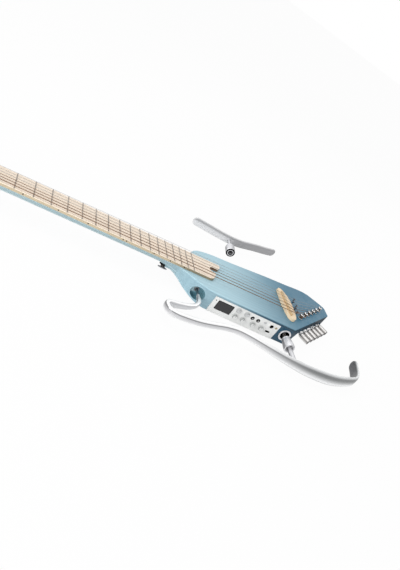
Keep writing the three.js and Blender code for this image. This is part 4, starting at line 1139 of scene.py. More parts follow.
BRASS_SCREW = Metal("screw_brass", linear(190, 178, 146), 0.35, shade=linear(120, 104, 74))
PICKUP_FOIL = Metal("pickup_foil", linear(190, 130, 88), 0.35, lines=0.4, shade=linear(120, 78, 50))
BONE = Plastic("cut_bone", linear(240, 234, 218), 0.45, soil=linear(200, 186, 150))
SADDLE_BONE = Plastic("saddle_bone", linear(206, 180, 140), 0.5, soil=linear(140, 112, 78))
DOT_BLACK = Plastic("dot_black", linear(34, 30, 28), 0.4, soil=linear(70, 62, 56))
POINTER_GREY = Plastic("pointer_grey", linear(120, 122, 124), 0.4, soil=linear(80, 82, 84))
PANEL_WHITE = Plastic("panel_white", linear(242, 243, 242), 0.45, soil=linear(214, 215, 210))
PANEL_BLACK = Plastic("panel_black", linear(12, 12, 13), 0.6, soil=linear(24, 24, 26), shine=0.1)
# Near-black without gloss: painted shade in the posts' openings, the sleeves' bores, the strap button's slot
# and round the leg rest's stem; it also lines the sockets' wells and rings the leg sleeve's nose.
WELL_BLACK = Plastic("socket_black", linear(8, 7, 7), 0.7, soil=linear(14, 11, 10), shine=0.0)
BUSH_SHADE = Plastic("bush_shade", linear(58, 78, 86), 0.6, soil=linear(40, 60, 68))
KNOB_WHITE = Plastic("knob_white", linear(236, 237, 236), 0.42, soil=linear(200, 202, 200))
# Painted shade: the panel knobs' upright walls, a grey copy of their plastic.
KNOB_WALL_SHADE = Plastic("knob_wall_shade", linear(168, 171, 170), 0.5, soil=linear(120, 122, 120))
KNOB_GREY = Plastic("knob_grey", linear(206, 208, 209), 0.4, soil=linear(150, 152, 152))
BATTERY_WRAP = Plastic("battery_wrap", linear(48, 78, 138), 0.3, soil=linear(30, 50, 96), coat=0.4)
BLACK_FELT = Felt("black_felt", linear(10, 10, 11), 0.95)
DISPLAY = Glass("display_glass", linear(18, 18, 23), 0.25, lit=linear(12, 12, 16))
BOARD_GREEN = CircuitFoil("board_green", linear(28, 96, 62), 0.5, track=linear(60, 140, 90))
WOUND_BRONZE = WoundWire("wound_bronze", linear(146, 118, 98), 0.42, groove=linear(104, 80, 62))
PLAIN_STEEL = WoundWire(
    "plain_steel", linear(170, 166, 162), 0.32, pitch=9000, depth=0.01 * MM, groove=linear(142, 138, 134)
)


# Mesh building


def at(x: float, y: float, z: float) -> Matrix:
    """A move to a point."""
    return Matrix.Translation((x, y, z))


def quarter(turns: float, axis: str = "X") -> Matrix:
    """A turn by quarters about one axis."""
    return Matrix.Rotation(turns * math.pi / 2, 4, axis)


def edges_at(verts: Iterable[BMVert]) -> list[BMEdge]:
    """Gives the edges that meet at some corners, each once and always in the same order."""
    return list(dict.fromkeys(e for v in verts for e in v.link_edges))


def faces_at(verts: Iterable[BMVert]) -> list[BMFace]:
    """Gives the faces that meet at some corners, each once and always in the same order."""
    return list(dict.fromkeys(f for v in verts for f in v.link_faces))


@dataclass
class Piece:
    """A mesh in the making and what it will be.

    Attributes:
        name: the finished object's name.
        finishes: its finishes, in the order of its faces' material numbers.
        body: the CAD body that it rides on.
        stands_for: CAD nodes that it replaces.
        slot: a material slot's name; not used.
        smooth: edges flatter than this many degrees are shaded smooth.
        weighted: whether large faces keep their own normals.
        mesh: its mesh.
    """

    name: str
    finishes: Sequence[Finish]
    body: str = ROOT
    stands_for: Sequence[str] = ()
    slot: str | None = None
    smooth: float = 38.0
    weighted: bool = True
    mesh: BMesh = field(default_factory=bmesh.new)

    def finish(self, place: Matrix = STAY) -> bpy.types.Object:
        """Turns the mesh into an object that rides on its body.

        Args:
            place: where the mesh is moved first.

        Returns:
            The object.
        """
        bmesh.ops.transform(self.mesh, matrix=place, verts=self.mesh.verts)
        bmesh.ops.recalc_face_normals(self.mesh, faces=self.mesh.faces)
        data = bpy.data.meshes.new(self.name)
        self.mesh.to_mesh(data)
        self.mesh.free()
        for finish in self.finishes:
            data.materials.append(finish.material())
        data.shade_smooth()
        data.set_sharp_from_angle(angle=math.radians(self.smooth))
        made = bpy.data.objects.new(self.name, data)
        bpy.context.scene.collection.objects.link(made)
        if self.weighted:
            even = made.modifiers.new("even_faces", "WEIGHTED_NORMAL")
            even.keep_sharp = True
            even.weight = 80
        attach(made, self.body)
        if self.stands_for:
            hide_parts(*self.stands_for)
        log.info("%s: %d faces on %s", self.name, len(data.polygons), self.body)
        return made

    def add_node(self, node: str, flat: float = 0.6) -> None:
        """Copies a CAD node into the mesh, with its corners merged and its flat faces whole.

        Args:
            node: the CAD node's name.
            flat: faces turned by less than this many degrees become one.
        """
        before = set(self.mesh.verts)
        self.mesh.from_mesh(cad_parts[node].data)
        new = [v for v in self.mesh.verts if v not in before]
        bmesh.ops.remove_doubles(self.mesh, verts=new, dist=MERGE)
        if flat > 0:
            new = [v for v in self.mesh.verts if v not in before]
            bmesh.ops.dissolve_limit(
                self.mesh,
                angle_limit=math.radians(flat),
                verts=new,
                edges=edges_at(new),
                use_dissolve_boundaries=False,
            )

    def turn(
        self,
        profile: Sequence[Spot],
        steps: int,
        place: Matrix = STAY,
        unit: float = 1.0,
        number: int = 0,
    ) -> None:
        """Spins a profile of radius and height about the Z axis, then places it.

        Args:
            profile: pairs of radius and height; a radius of 0 closes the shape.
            steps: steps of the full turn.
            place: where the finished shape goes.
            unit: what the pairs are measured in.
            number: its faces' material number.
        """
        bm = self.mesh
        before = set(bm.verts)
        verts = [bm.verts.new((radius * unit, 0, height * unit)) for radius, height in profile]
        edges = [bm.edges.new(pair) for pair in zip(verts, verts[1:])]
        bmesh.ops.spin(
            bm,
            geom=[*verts, *edges],
            cent=(0, 0, 0),
            axis=(0, 0, 1),
            dvec=(0, 0, 0),
            angle=2 * math.pi,
            steps=steps,
            use_merge=True,
            use_duplicate=False,
        )
        new = [v for v in bm.verts if v not in before]
        bmesh.ops.remove_doubles(bm, verts=new, dist=MERGE)
        new = [v for v in bm.verts if v not in before]
        bmesh.ops.transform(bm, matrix=place, verts=new)
        self.paint_round(new, number)

    def block(self, size: Sequence[float], place: Matrix, number: int = 0) -> None:
        """Adds a box of a given size, centred where place puts it, in the material of that number."""
        box = bmesh.ops.create_cube(self.mesh, size=1, matrix=place @ Matrix.Diagonal((*size, 1)))
        self.paint_round(box["verts"], number)

    def soften(
        self,
        width: float,
        segments: int = 2,
        angle: float = 40.0,
        where: Callable[[BMEdge], bool] = lambda _: True,
    ) -> None:
        """Bevels the mesh's sharp edges.

        Args:
            width: how far the bevel reaches.
            segments: steps across it.
            angle: edges turned by more than this many degrees are sharp.
            where: a test that narrows the edges down.
        """
        limit = math.radians(angle)
        sharp = [
            e for e in self.mesh.edges if len(e.link_faces) == 2 and e.calc_face_angle(0) > limit and where(e)
        ]
        bmesh.ops.bevel(
            self.mesh,
            geom=sharp,
            offset=width,
            offset_type="OFFSET",
            affect="EDGES",
            segments=segments,
            profile=0.5,
            material=-1,
            clamp_overlap=True,
        )

    def flute(self, heights: Ramp, radius: float, steps: int, every: int, phase: int, depth: float) -> None:
        """Draws rows of a turned shape's corners in towards its axis.

        Args:
            heights: the heights between which corners move.
            radius: how far from the axis they lie at least.
            steps: steps of the shape's full turn.
            every: of so many rows, one moves.
            phase: which of them.
            depth: how far it moves, as a share of its distance.
        """
        for vert in self.mesh.verts:
            if heights[0] < vert.co.z < heights[1] and math.hypot(vert.co.x, vert.co.y) > radius:
                row = round(math.atan2(vert.co.y, vert.co.x) / (2 * math.pi) * steps)
                if row % every == phase:
                    vert.co.x *= 1 - depth
                    vert.co.y *= 1 - depth

    def paint_faces(self, number: int, where: Callable[[BMFace], bool]) -> None:
        """Gives the faces that pass a test the material of that number.

        Args:
            number: the material's number among the piece's finishes.
            where: the test.
        """
        for face in self.mesh.faces:
            if where(face):
                face.material_index = number

    def paint_ring(self, number: int, radii: Ramp = EVERYWHERE, heights: Ramp = EVERYWHERE) -> None:
        """Gives the faces between two radii about Z and two heights the material of that number.

        Args:
            number: the material's number among the piece's finishes.
            radii: the nearest and the furthest distance from Z.
            heights: the lowest and the highest place along Z.
        """

        def within(face: BMFace) -> bool:
            """Whether a face's middle lies in the ring."""
            x, y, z = face.calc_center_median()
            return radii[0] < math.hypot(x, y) < radii[1] and heights[0] < z < heights[1]

        self.paint_faces(number, within)

    @staticmethod
    def paint_round(verts: Iterable[BMVert], number: int) -> None:
        """Gives the faces that meet at some corners the material of that number."""
        for face in faces_at(verts):
            face.material_index = number


def softened(
    name: str, node: str, finish: Finish, slot: str, edge: float, angle: float = 42.0, smooth: float = 38.0
) -> bpy.types.Object:
    """Softens a copy of a CAD node.

    Args:
        name: the piece's name.
        node: the node that it replaces.
        finish: its finish.
        slot: a material slot's name, kept on the piece.
        edge: how far its edges are softened.
        angle: edges turned by more than this many degrees are softened.
        smooth: edges flatter than this many degrees are shaded smooth.

    Returns:
        The finished object.
    """
    piece = Piece(name, [finish], stands_for=[node], slot=slot, smooth=smooth)
    piece.add_node(node)
    piece.soften(edge, 2, angle)
    return piece.finish()


def dress(node: str, finish: Finish) -> None:
    """Gives a CAD node that stays as it is a finish of its own.

    Args:
        node: the node's name.
        finish: its finish.
    """
    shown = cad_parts[node]
    shown.data.materials.clear()
    shown.data.materials.append(finish.material())
    log.info("%s: carried over as %s", node, finish.name)


def smooth_route(points: Sequence[Vector], samples: int = 60) -> list[Vector]:
    """Draws a centripetal curve through points.

    Args:
        points: the points that it passes.
        samples: samples in each span.

    Returns:
        The curve's points, close together.
    """
    padded = [2 * points[0] - points[1], *points, 2 * points[-1] - points[-2]]
    route: list[Vector] = []
    for a, b, c, d in zip(padded, padded[1:], padded[2:], padded[3:]):
        t0 = 0.0
        t1 = t0 + math.sqrt((b - a).length)
        t2 = t1 + math.sqrt((c - b).length)
        t3 = t2 + math.sqrt((d - c).length)
        for i in range(samples):
            t = lerp(t1, t2, i / samples)
            first = a * ((t1 - t) / (t1 - t0)) + b * ((t - t0) / (t1 - t0))
            second = b * ((t2 - t) / (t2 - t1)) + c * ((t - t1) / (t2 - t1))
            third = c * ((t3 - t) / (t3 - t2)) + d * ((t - t2) / (t3 - t2))
            near = first * ((t2 - t) / (t2 - t0)) + second * ((t - t0) / (t2 - t0))
            far = second * ((t3 - t) / (t3 - t1)) + third * ((t - t1) / (t3 - t1))
            route.append(near * ((t2 - t) / (t2 - t1)) + far * ((t - t1) / (t2 - t1)))
    route.append(points[-1].copy())
    return route


class Sweep:
    """A ring that is extruded along a level route, changing its size on the way."""

    def __init__(self, route: Sequence[Vector]) -> None:
        """Measures the route.

        Args:
            route: its points, close together.
        """
        self.route = route
        self.lengths = [0.0]
        for a, b in zip(route, route[1:]):
            self.lengths.append(self.lengths[-1] + (b - a).length)

    @property
    def length(self) -> float:
        """The whole route's length."""
        return self.lengths[-1]

    def station(self, share: float) -> tuple[Vector, Vector]:
        """Gives the point and the direction at a share of the length.

        Args:
            share: the share of the route's length.

        Returns:
            The point and the direction.
        """
        target = share * self.length
        i = 1
        while i < len(self.lengths) - 1 and self.lengths[i] < target:
            i += 1
        a, b = self.route[i - 1], self.route[i]
        span = self.lengths[i] - self.lengths[i - 1]
        point = a.lerp(b, (target - self.lengths[i - 1]) / span)
        ahead = self.route[min(i + 1, len(self.route) - 1)]
        behind = self.route[max(i - 2, 0)]
        return point, (ahead - behind).normalized()

    def build(
        self,
        bm: BMesh,
        stops: Sequence[float],
        section: Callable[[float], tuple[float, float]],
        sides: int = 40,
        boxiness: float = 0.72,
    ) -> None:
        """Extrudes the ring from stop to stop and closes both ends.

        Args:
            bm: the mesh it goes into.
            stops: shares of the length, rising.
            section: thickness and height at a share.
            sides: the ring's corners.
            boxiness: 1 leaves the ring oval, less makes it boxier.
        """
        layers = bm.verts.layers.float
        out_layer, up_layer, run_layer = (layers.get(name) or layers.new(name) for name in PROFILE)
        ring: list[BMVert] = bmesh.ops.create_circle(bm, segments=sides, radius=1)["verts"]
        for vert in ring:
            vert[out_layer], vert[up_layer] = vert.co.x, vert.co.y
            vert.co.x = math.copysign(abs(vert.co.x) ** boxiness, vert.co.x)
            vert.co.y = math.copysign(abs(vert.co.y) ** boxiness, vert.co.y)
        edges = edges_at(ring)
        before = Matrix.Identity(4)
        bmesh.ops.contextual_create(bm, geom=edges)
        for stop in stops:
            point, ahead = self.station(stop)
            out = Vector((0, 0, 1)).cross(ahead).normalized()
            thick, high = section(stop)
            place = Matrix.Identity(4)
            place.col[0] = (*(out * thick / 2), 0)
            place.col[1] = (0, 0, high / 2, 0)
            place.col[2] = (*ahead, 0)
            place.col[3] = (*point, 1)
            if stop != stops[0]:
                grown = bmesh.ops.extrude_edge_only(bm, edges=edges)["geom"]
                ring = [g for g in grown if isinstance(g, BMVert)]
                edges = [g for g in grown if isinstance(g, BMEdge) and all(v in ring for v in g.verts)]
            bmesh.ops.transform(bm, matrix=place @ before.inverted(), verts=ring)
            for vert in ring:
                vert[run_layer] = stop
            before = place
        bmesh.ops.contextual_create(bm, geom=edges)


def cap_stops(count: int, start_cap: float, end_cap: float) -> list[float]:
    """Spreads stops along a route, closer over its rounded ends.

    Args:
        count: stops between the ends.
        start_cap: share of the length that the first rounding takes, or 0.
        end_cap: the same at the far end.

    Returns:
        Rising shares of the length.
    """
    near = (0.012, 0.05, 0.12, 0.22, 0.36, 0.52, 0.7, 0.86)
    inner = [lerp(start_cap, 1 - end_cap, i / count) for i in range(count + 1)]
    start = [share * start_cap for share in near] if start_cap else []
    return [*start, *inner, *[1 - share * end_cap for share in reversed(near)]]


def cap_size(share: float, start_cap: float, end_cap: float) -> float:
    """How much of its full size a rounded end has at a share of the length."""
    into = min(share / start_cap if start_cap else 1, (1 - share) / end_cap, 1)
    return math.sqrt(max(1 - (1 - into) ** 2, 0.0004))


@dataclass(frozen=True)
class Layout:
    """Sizes that several sub-assemblies share, and the frames that they stand in.

    Attributes:
        scale: vibrating length of the strings.
        panel_front: the panel's front end from the end of the scale.
        side_reach: the bass side's distance from the centre line there.
        side_angle: its lean.
        tail_angle: the tail edge's turn.
        tail_distance: from the origin square to the tail edge.
        middle: height of the frame's and the leg rest's middle plane.
        nut_width: the fingerboard's width at the nut.
        board_taper: how much it widens for each unit of length.
    """

    scale: float = 648 * MM
    panel_front: float = -158.5 * MM
    side_reach: float = 57.8175 * MM
    side_angle: float = math.atan(-8.5 / 174)
    tail_angle: float = math.radians(39.9)
    tail_distance: float = 56.5 * MM
    middle: float = 19 * MM
    nut_width: float = 44 * MM
    board_taper: float = 6.3 / 324

    @property
    def side(self) -> Matrix:
        """X along the bass side from the panel's front end, Y into the body."""
        return at(self.panel_front, -self.side_reach, 0) @ Matrix.Rotation(self.side_angle, 4, "Z")

    @property
    def tail(self) -> Matrix:
        """X along the tail edge to the treble side, Y into the body.

        Returns:
            The frame's matrix.
        """
        x = self.tail_distance * math.sin(self.tail_angle)
        y = -self.tail_distance * math.cos(self.tail_angle)
        return at(x, y, 0) @ Matrix.Rotation(self.tail_angle, 4, "Z")

    def bass_side(self, x: float) -> float:
        """The bass side's Y at a place along X."""
        return -self.side_reach + math.tan(self.side_angle) * (x - self.panel_front)

    def half_board(self, x: float) -> float:
        """Half the fingerboard's width at a place along X."""
        return (self.nut_width + self.board_taper * (x + self.scale)) / 2


LAYOUT = Layout()


# Sub-assemblies


@dataclass(frozen=True)
class Corpus:
    """Neck and body under one lacquer.

    Attributes:
        seam: where the neck meets the body.
        edge: the softening along cut edges.
        recess_radius: within this radius about the front rod, faces may line its recess.
        recess_end: how far the recess runs in along Y.
        pocket_length: where the electronics pocket lies along the panel.
        pocket_depth: how far behind the side's face its bare wood starts and ends.
        pocket_height: its height.
    """

    seam: float = -228 * MM
    edge: float = 0.35 * MM
    recess_radius: float = 12.7 * MM
    recess_end: float = -36 * MM
    pocket_length: Ramp = (0.5 * MM, 138 * MM)
    pocket_depth: Ramp = (3.4 * MM, 52 * MM)
    pocket_height: float = 31 * MM

    def build(self) -> list[bpy.types.Object]:
        """Builds the neck, drawn up to the body so that no seam shows, and the body.

        Returns:
            The finished objects.
        """
        neck = Piece("neck_shell", [LACQUER], stands_for=["neck"], slot="blue_lacquer", smooth=35)
        neck.add_node("neck")
        for vert in neck.mesh.verts:
            if abs(vert.co.x - self.seam) < MERGE:
                vert.co.x += GAP - MERGE
        neck.soften(self.edge, 2, 60, self._cut_edge)
        finishes = [LACQUER, RECESS_BLUE, BARE_WOOD]
        body = Piece("body_shell", finishes, stands_for=["body"], slot="blue_lacquer", smooth=32)
        body.add_node("body")
        body.soften(self.edge, 2, 60, self._cut_edge)
        # The front rod's recess takes the lacquer with painted light and shade.
        body.paint_faces(1, self._in_recess)
        body.paint_faces(2, self._in_pocket)
        dress("truss_rod", DARK_STEEL)
        return [neck.finish(), body.finish()]

    def _cut_edge(self, edge: BMEdge) -> bool:
        """Whether an edge lies away from the seam and is long enough to soften."""
        middle = (edge.verts[0].co + edge.verts[1].co) / 2
        return abs(middle.x - self.seam) > 2 * MM and edge.calc_length() > 2.5 * self.edge

    def _in_recess(self, face: BMFace) -> bool:
        """Whether a face lines the round recess of the frame's front rod."""
        away = (math.hypot(v.co.x - SOCKETS.front_rod, v.co.z - LAYOUT.middle) for v in face.verts)
        return max(away) < self.recess_radius and face.calc_center_median().y < self.recess_end

    def _in_pocket(self, face: BMFace) -> bool:
        """Whether a face lines the electronics pocket behind the panel.

        Args:
            face: the face.

        Returns:
            Whether it does.
        """
        x, y, z = LAYOUT.side.inverted() @ face.calc_center_median()
        (start, end), (near, far) = self.pocket_length, self.pocket_depth
        return start < x < end and near < y < far and z < self.pocket_height


@dataclass(frozen=True)
class Fingerboard:
    """Maple board with a notched end, its frets and its side dots.

    Attributes:
        foot: height of its underside.
        thickness: from its underside to its face.
        head_gap: from the nut's end of the scale to its head end.
        bass_end: end of its bass tongue.
        treble_end: end of its treble tongue.
        notch_width: between the tongues.
        notch_depth: how far the notch runs in.
        notch_offset: the notch's shift to the treble side.
        flare: how far the notch's corners are cut back.
        rounding: where the tongues' outer corners start to round, as a share of the half width.
        frets: how many frets it carries.
        fret_width: a fret's width.
        fret_height: a fret's rise.
        fret_inset: from the board's edge to a fret's end.
        dot_radius: a side dot's radius.
        dotted: the frets that have one dot before them.
        octave: the fret that has two.
    """

    foot: float = 38.3 * MM
    thickness: float = 5 * MM
    head_gap: float = 2.8 * MM
    bass_end: float = -164 * MM
    treble_end: float = -140 * MM
    notch_width: float = 14 * MM
    notch_depth: float = 17 * MM
    notch_offset: float = 3 * MM
    flare: float = 2 * MM
    rounding: float = 0.6
    frets: int = 20
    fret_width: float = 1.8 * MM
    fret_height: float = 0.9 * MM
    fret_inset: float = 0.4 * MM
    dot_radius: float = 1.1 * MM
    dotted: tuple[int, ...] = (3, 5, 7, 9, 15, 17, 19)
    octave: int = 12

    @property
    def roof(self) -> float:
        """Height of the board's face."""
        return self.foot + self.thickness

    def build(self) -> list[bpy.types.Object]:
        """Builds the board, the frets and the side dots."""
        return [self._board(), self._fret_row(), self._dots()]

    @staticmethod
    def _fret_place(number: float) -> float:
        """A fret's place along X; half numbers lie between frets."""
        return sum(-LAYOUT.scale * 2 ** (-n / 12) for n in (math.floor(number), math.ceil(number))) / 2

    def _outline(self) -> list[Spot]:
        """The board's outline, corner by corner.

        Returns:
            The corners' X and Y.
        """
        start = -LAYOUT.scale + self.head_gap
        bass, treble = -LAYOUT.half_board(self.bass_end), LAYOUT.half_board(self.treble_end)

        def end_x(y: float) -> float:
            """The slanting end's X at a distance across."""
            return lerp(self.bass_end, self.treble_end, (y - bass) / (treble - bass))

        def bend(a: Spot, b: Spot, c: Spot) -> list[Spot]:
            """A quadratic curve from a to c, drawn to b.

            Args:
                a: the curve's start.
                b: the corner that it rounds.
                c: its end.

            Returns:
                The curve's points.
            """
            return [
                tuple((1 - t) ** 2 * p + 2 * t * (1 - t) * q + t * t * r for p, q, r in zip(a, b, c))
                for t in (i / 8 for i in range(9))
            ]

        half = self.notch_width / 2
        low, high = self.notch_offset - half, self.notch_offset + half
        bottom = end_x(self.notch_offset) - self.notch_depth + half
        arc = [
            (bottom - half * math.sin(turn), self.notch_offset - half * math.cos(turn))
            for turn in (math.pi * i / 16 for i in range(17))
        ]
        bass_round, treble_round = bass * self.rounding, treble * self.rounding
        return [
            (start, -LAYOUT.half_board(start)),
            *bend((self.bass_end - half, bass), (self.bass_end, bass), (end_x(bass_round), bass_round)),
            (end_x(low) - self.flare, low),
            *arc,
            (end_x(high) - self.flare, high),
            *bend(
                (end_x(treble_round), treble_round),
                (self.treble_end, treble),
                (self.treble_end - half, treble),
            ),
            (start, LAYOUT.half_board(start)),
        ]

    def _board(self) -> bpy.types.Object:
        """Extrudes the outline and rounds its upper edge.

        Returns:
            The finished object.
        """
        finishes = [BOARD_MAPLE, BOARD_SIDE_SHADE, NOTCH_WALL_SHADE]
        piece = Piece("finger_board", finishes, stands_for=["fretboard"], slot="maple", smooth=30)
        bm = piece.mesh
        face = bm.faces.new([bm.verts.new((x, y, self.foot)) for x, y in self._outline()])
        grown = bmesh.ops.extrude_face_region(bm, geom=[face])["geom"]
        raised = [g for g in grown if isinstance(g, BMVert)]
        bmesh.ops.translate(bm, verts=raised, vec=(0, 0, self.thickness))
        piece.soften(0.7 * MM, 3, 50, lambda e: all(v.co.z > self.roof - MERGE for v in e.verts))
        bmesh.ops.recalc_face_normals(bm, faces=bm.faces)
        # The upright sides take the painted shade.
        piece.paint_faces(1, self._is_side)
        # The notch's walls take the end grain with painted shade.
        piece.paint_faces(2, self._in_notch)
        return piece.finish()

    @staticmethod
    def _is_side(face: BMFace) -> bool:
        """Whether a face stands upright."""
        return abs(face.normal.z) < 0.3

    def _in_notch(self, face: BMFace) -> bool:
        """Whether a face is one of the notch's walls.

        Args:
            face: the face.

        Returns:
            Whether it is.
        """
        x, y, _ = face.calc_center_median()
        beside = abs(y - self.notch_offset) < self.notch_width / 2 + 0.3 * MM
        return self._is_side(face) and beside and self.bass_end - 12 * MM < x < self.treble_end - 2 * MM

    def _fret_row(self) -> bpy.types.Object:
        """Makes each fret as a crowned wire with filed ends.

        Returns:
            The finished object.
        """
        piece = Piece("fret_wires", [FRET_WIRE, DARK_STEEL], slot="maple", smooth=50)
        sides = 16
        for number in range(1, self.frets + 1):
            x = self._fret_place(number)
            half = LAYOUT.half_board(x) - self.fret_inset
            size = Matrix.Diagonal((self.fret_width / 2, self.fret_height, half * 2, 1))
            place = at(x, 0, self.roof) @ quarter(1) @ size
            made = bmesh.ops.create_cone(
                piece.mesh, cap_ends=True, segments=sides, radius1=1, radius2=1, depth=1, matrix=place
            )["verts"]
            ends = [f for f in faces_at(made) if len(f.verts) == sides]
            bmesh.ops.inset_individual(piece.mesh, faces=ends, thickness=0.35 * MM, depth=0.3 * MM)
            # The filed ends take dark steel: the wire's end with painted shade where it meets the board's
            # edge.
            for end in ends:
                end.material_index = 1
        return piece.finish()

    def _dots(self) -> bpy.types.Object:
        """Sets the small dark dots into the board's bass edge, a pair at the octave.

        Returns:
            The finished object.
        """
        piece = Piece("side_dots", [DOT_BLACK], slot="maple", smooth=50)
        places = [self._fret_place(n - 0.5) for n in self.dotted]
        places += [self._fret_place(self.octave - 0.5) + shift for shift in (-3 * MM, 3 * MM)]
        r = self.dot_radius
        for x in places:
            place = at(x, -LAYOUT.half_board(x), self.foot + self.thickness * 0.5) @ quarter(1)
            piece.turn([(0, 0.15 * MM), (r, 0.15 * MM), (r, -0.6 * MM), (0, -0.6 * MM)], 20, place)
        return piece.finish()


@dataclass(frozen=True)
class StringSet:
    """The six strings with what holds and guides them.

    Attributes:
        wound: how many strings are wound.
        count: how many strings there are.
        bridge_top: height of the bridge's face.
        slot_place: the saddle slot's middle along X.
        slot_reach: how far from there the bridge's edges are clear of it.
    """

    wound: int = 3
    count: int = 6
    bridge_top: float = 44 * MM
    slot_place: float = 4 * MM
    slot_reach: float = 3.5 * MM

    def build(self) -> list[bpy.types.Object]:
        """Builds nut, head anchor, bridge, saddle, pickup strip, strings and guide pins.

        Returns:
            The finished objects.
        """
        made = [
            softened("string_nut", "nut", BONE, "bone", 0.3 * MM),
            softened("string_anchor", "head_anchor", TURNED_ALLOY, "silver_alloy", 0.5 * MM),
            softened("bridge_saddle", "saddle", SADDLE_BONE, "bone", 0.25 * MM),
            self._bridge(),
        ]
        dress("piezo_strip", PICKUP_FOIL)
        for i in range(1, self.count + 1):
            wound = i <= self.wound
            finish, slot = (WOUND_BRONZE, "wound_bronze") if wound else (PLAIN_STEEL, "string_steel")
            piece = Piece(f"wire_{i}", [finish], stands_for=[f"string_{i}"], slot=slot, smooth=80)
            piece.add_node(f"string_{i}", 0)
            made.append(piece.finish())
            if i > 1:
                guide = f"string_guide_{i}"
                made.append(softened(f"guide_pin_{i}", guide, DARK_STEEL, "dark_steel", 0.2 * MM))
        return made

    def _bridge(self) -> bpy.types.Object:
        """Rounds the leaf-shaped bridge's upper edge well over.

        Returns:
            The finished object.
        """
        piece = Piece("bridge_leaf", [BRIDGE_MAPLE], stands_for=["bridge"], slot="maple", smooth=40)
        piece.add_node("bridge")
        piece.soften(1.1 * MM, 4, 68.75, self._on_rim)
        return piece.finish()

    def _on_rim(self, edge: BMEdge) -> bool:
        """Whether an edge runs round the bridge's face, clear of the saddle's slot."""
        top = all(v.co.z > self.bridge_top - MERGE for v in edge.verts)
        return top and max(abs(v.co.x - self.slot_place) for v in edge.verts) > self.slot_reach


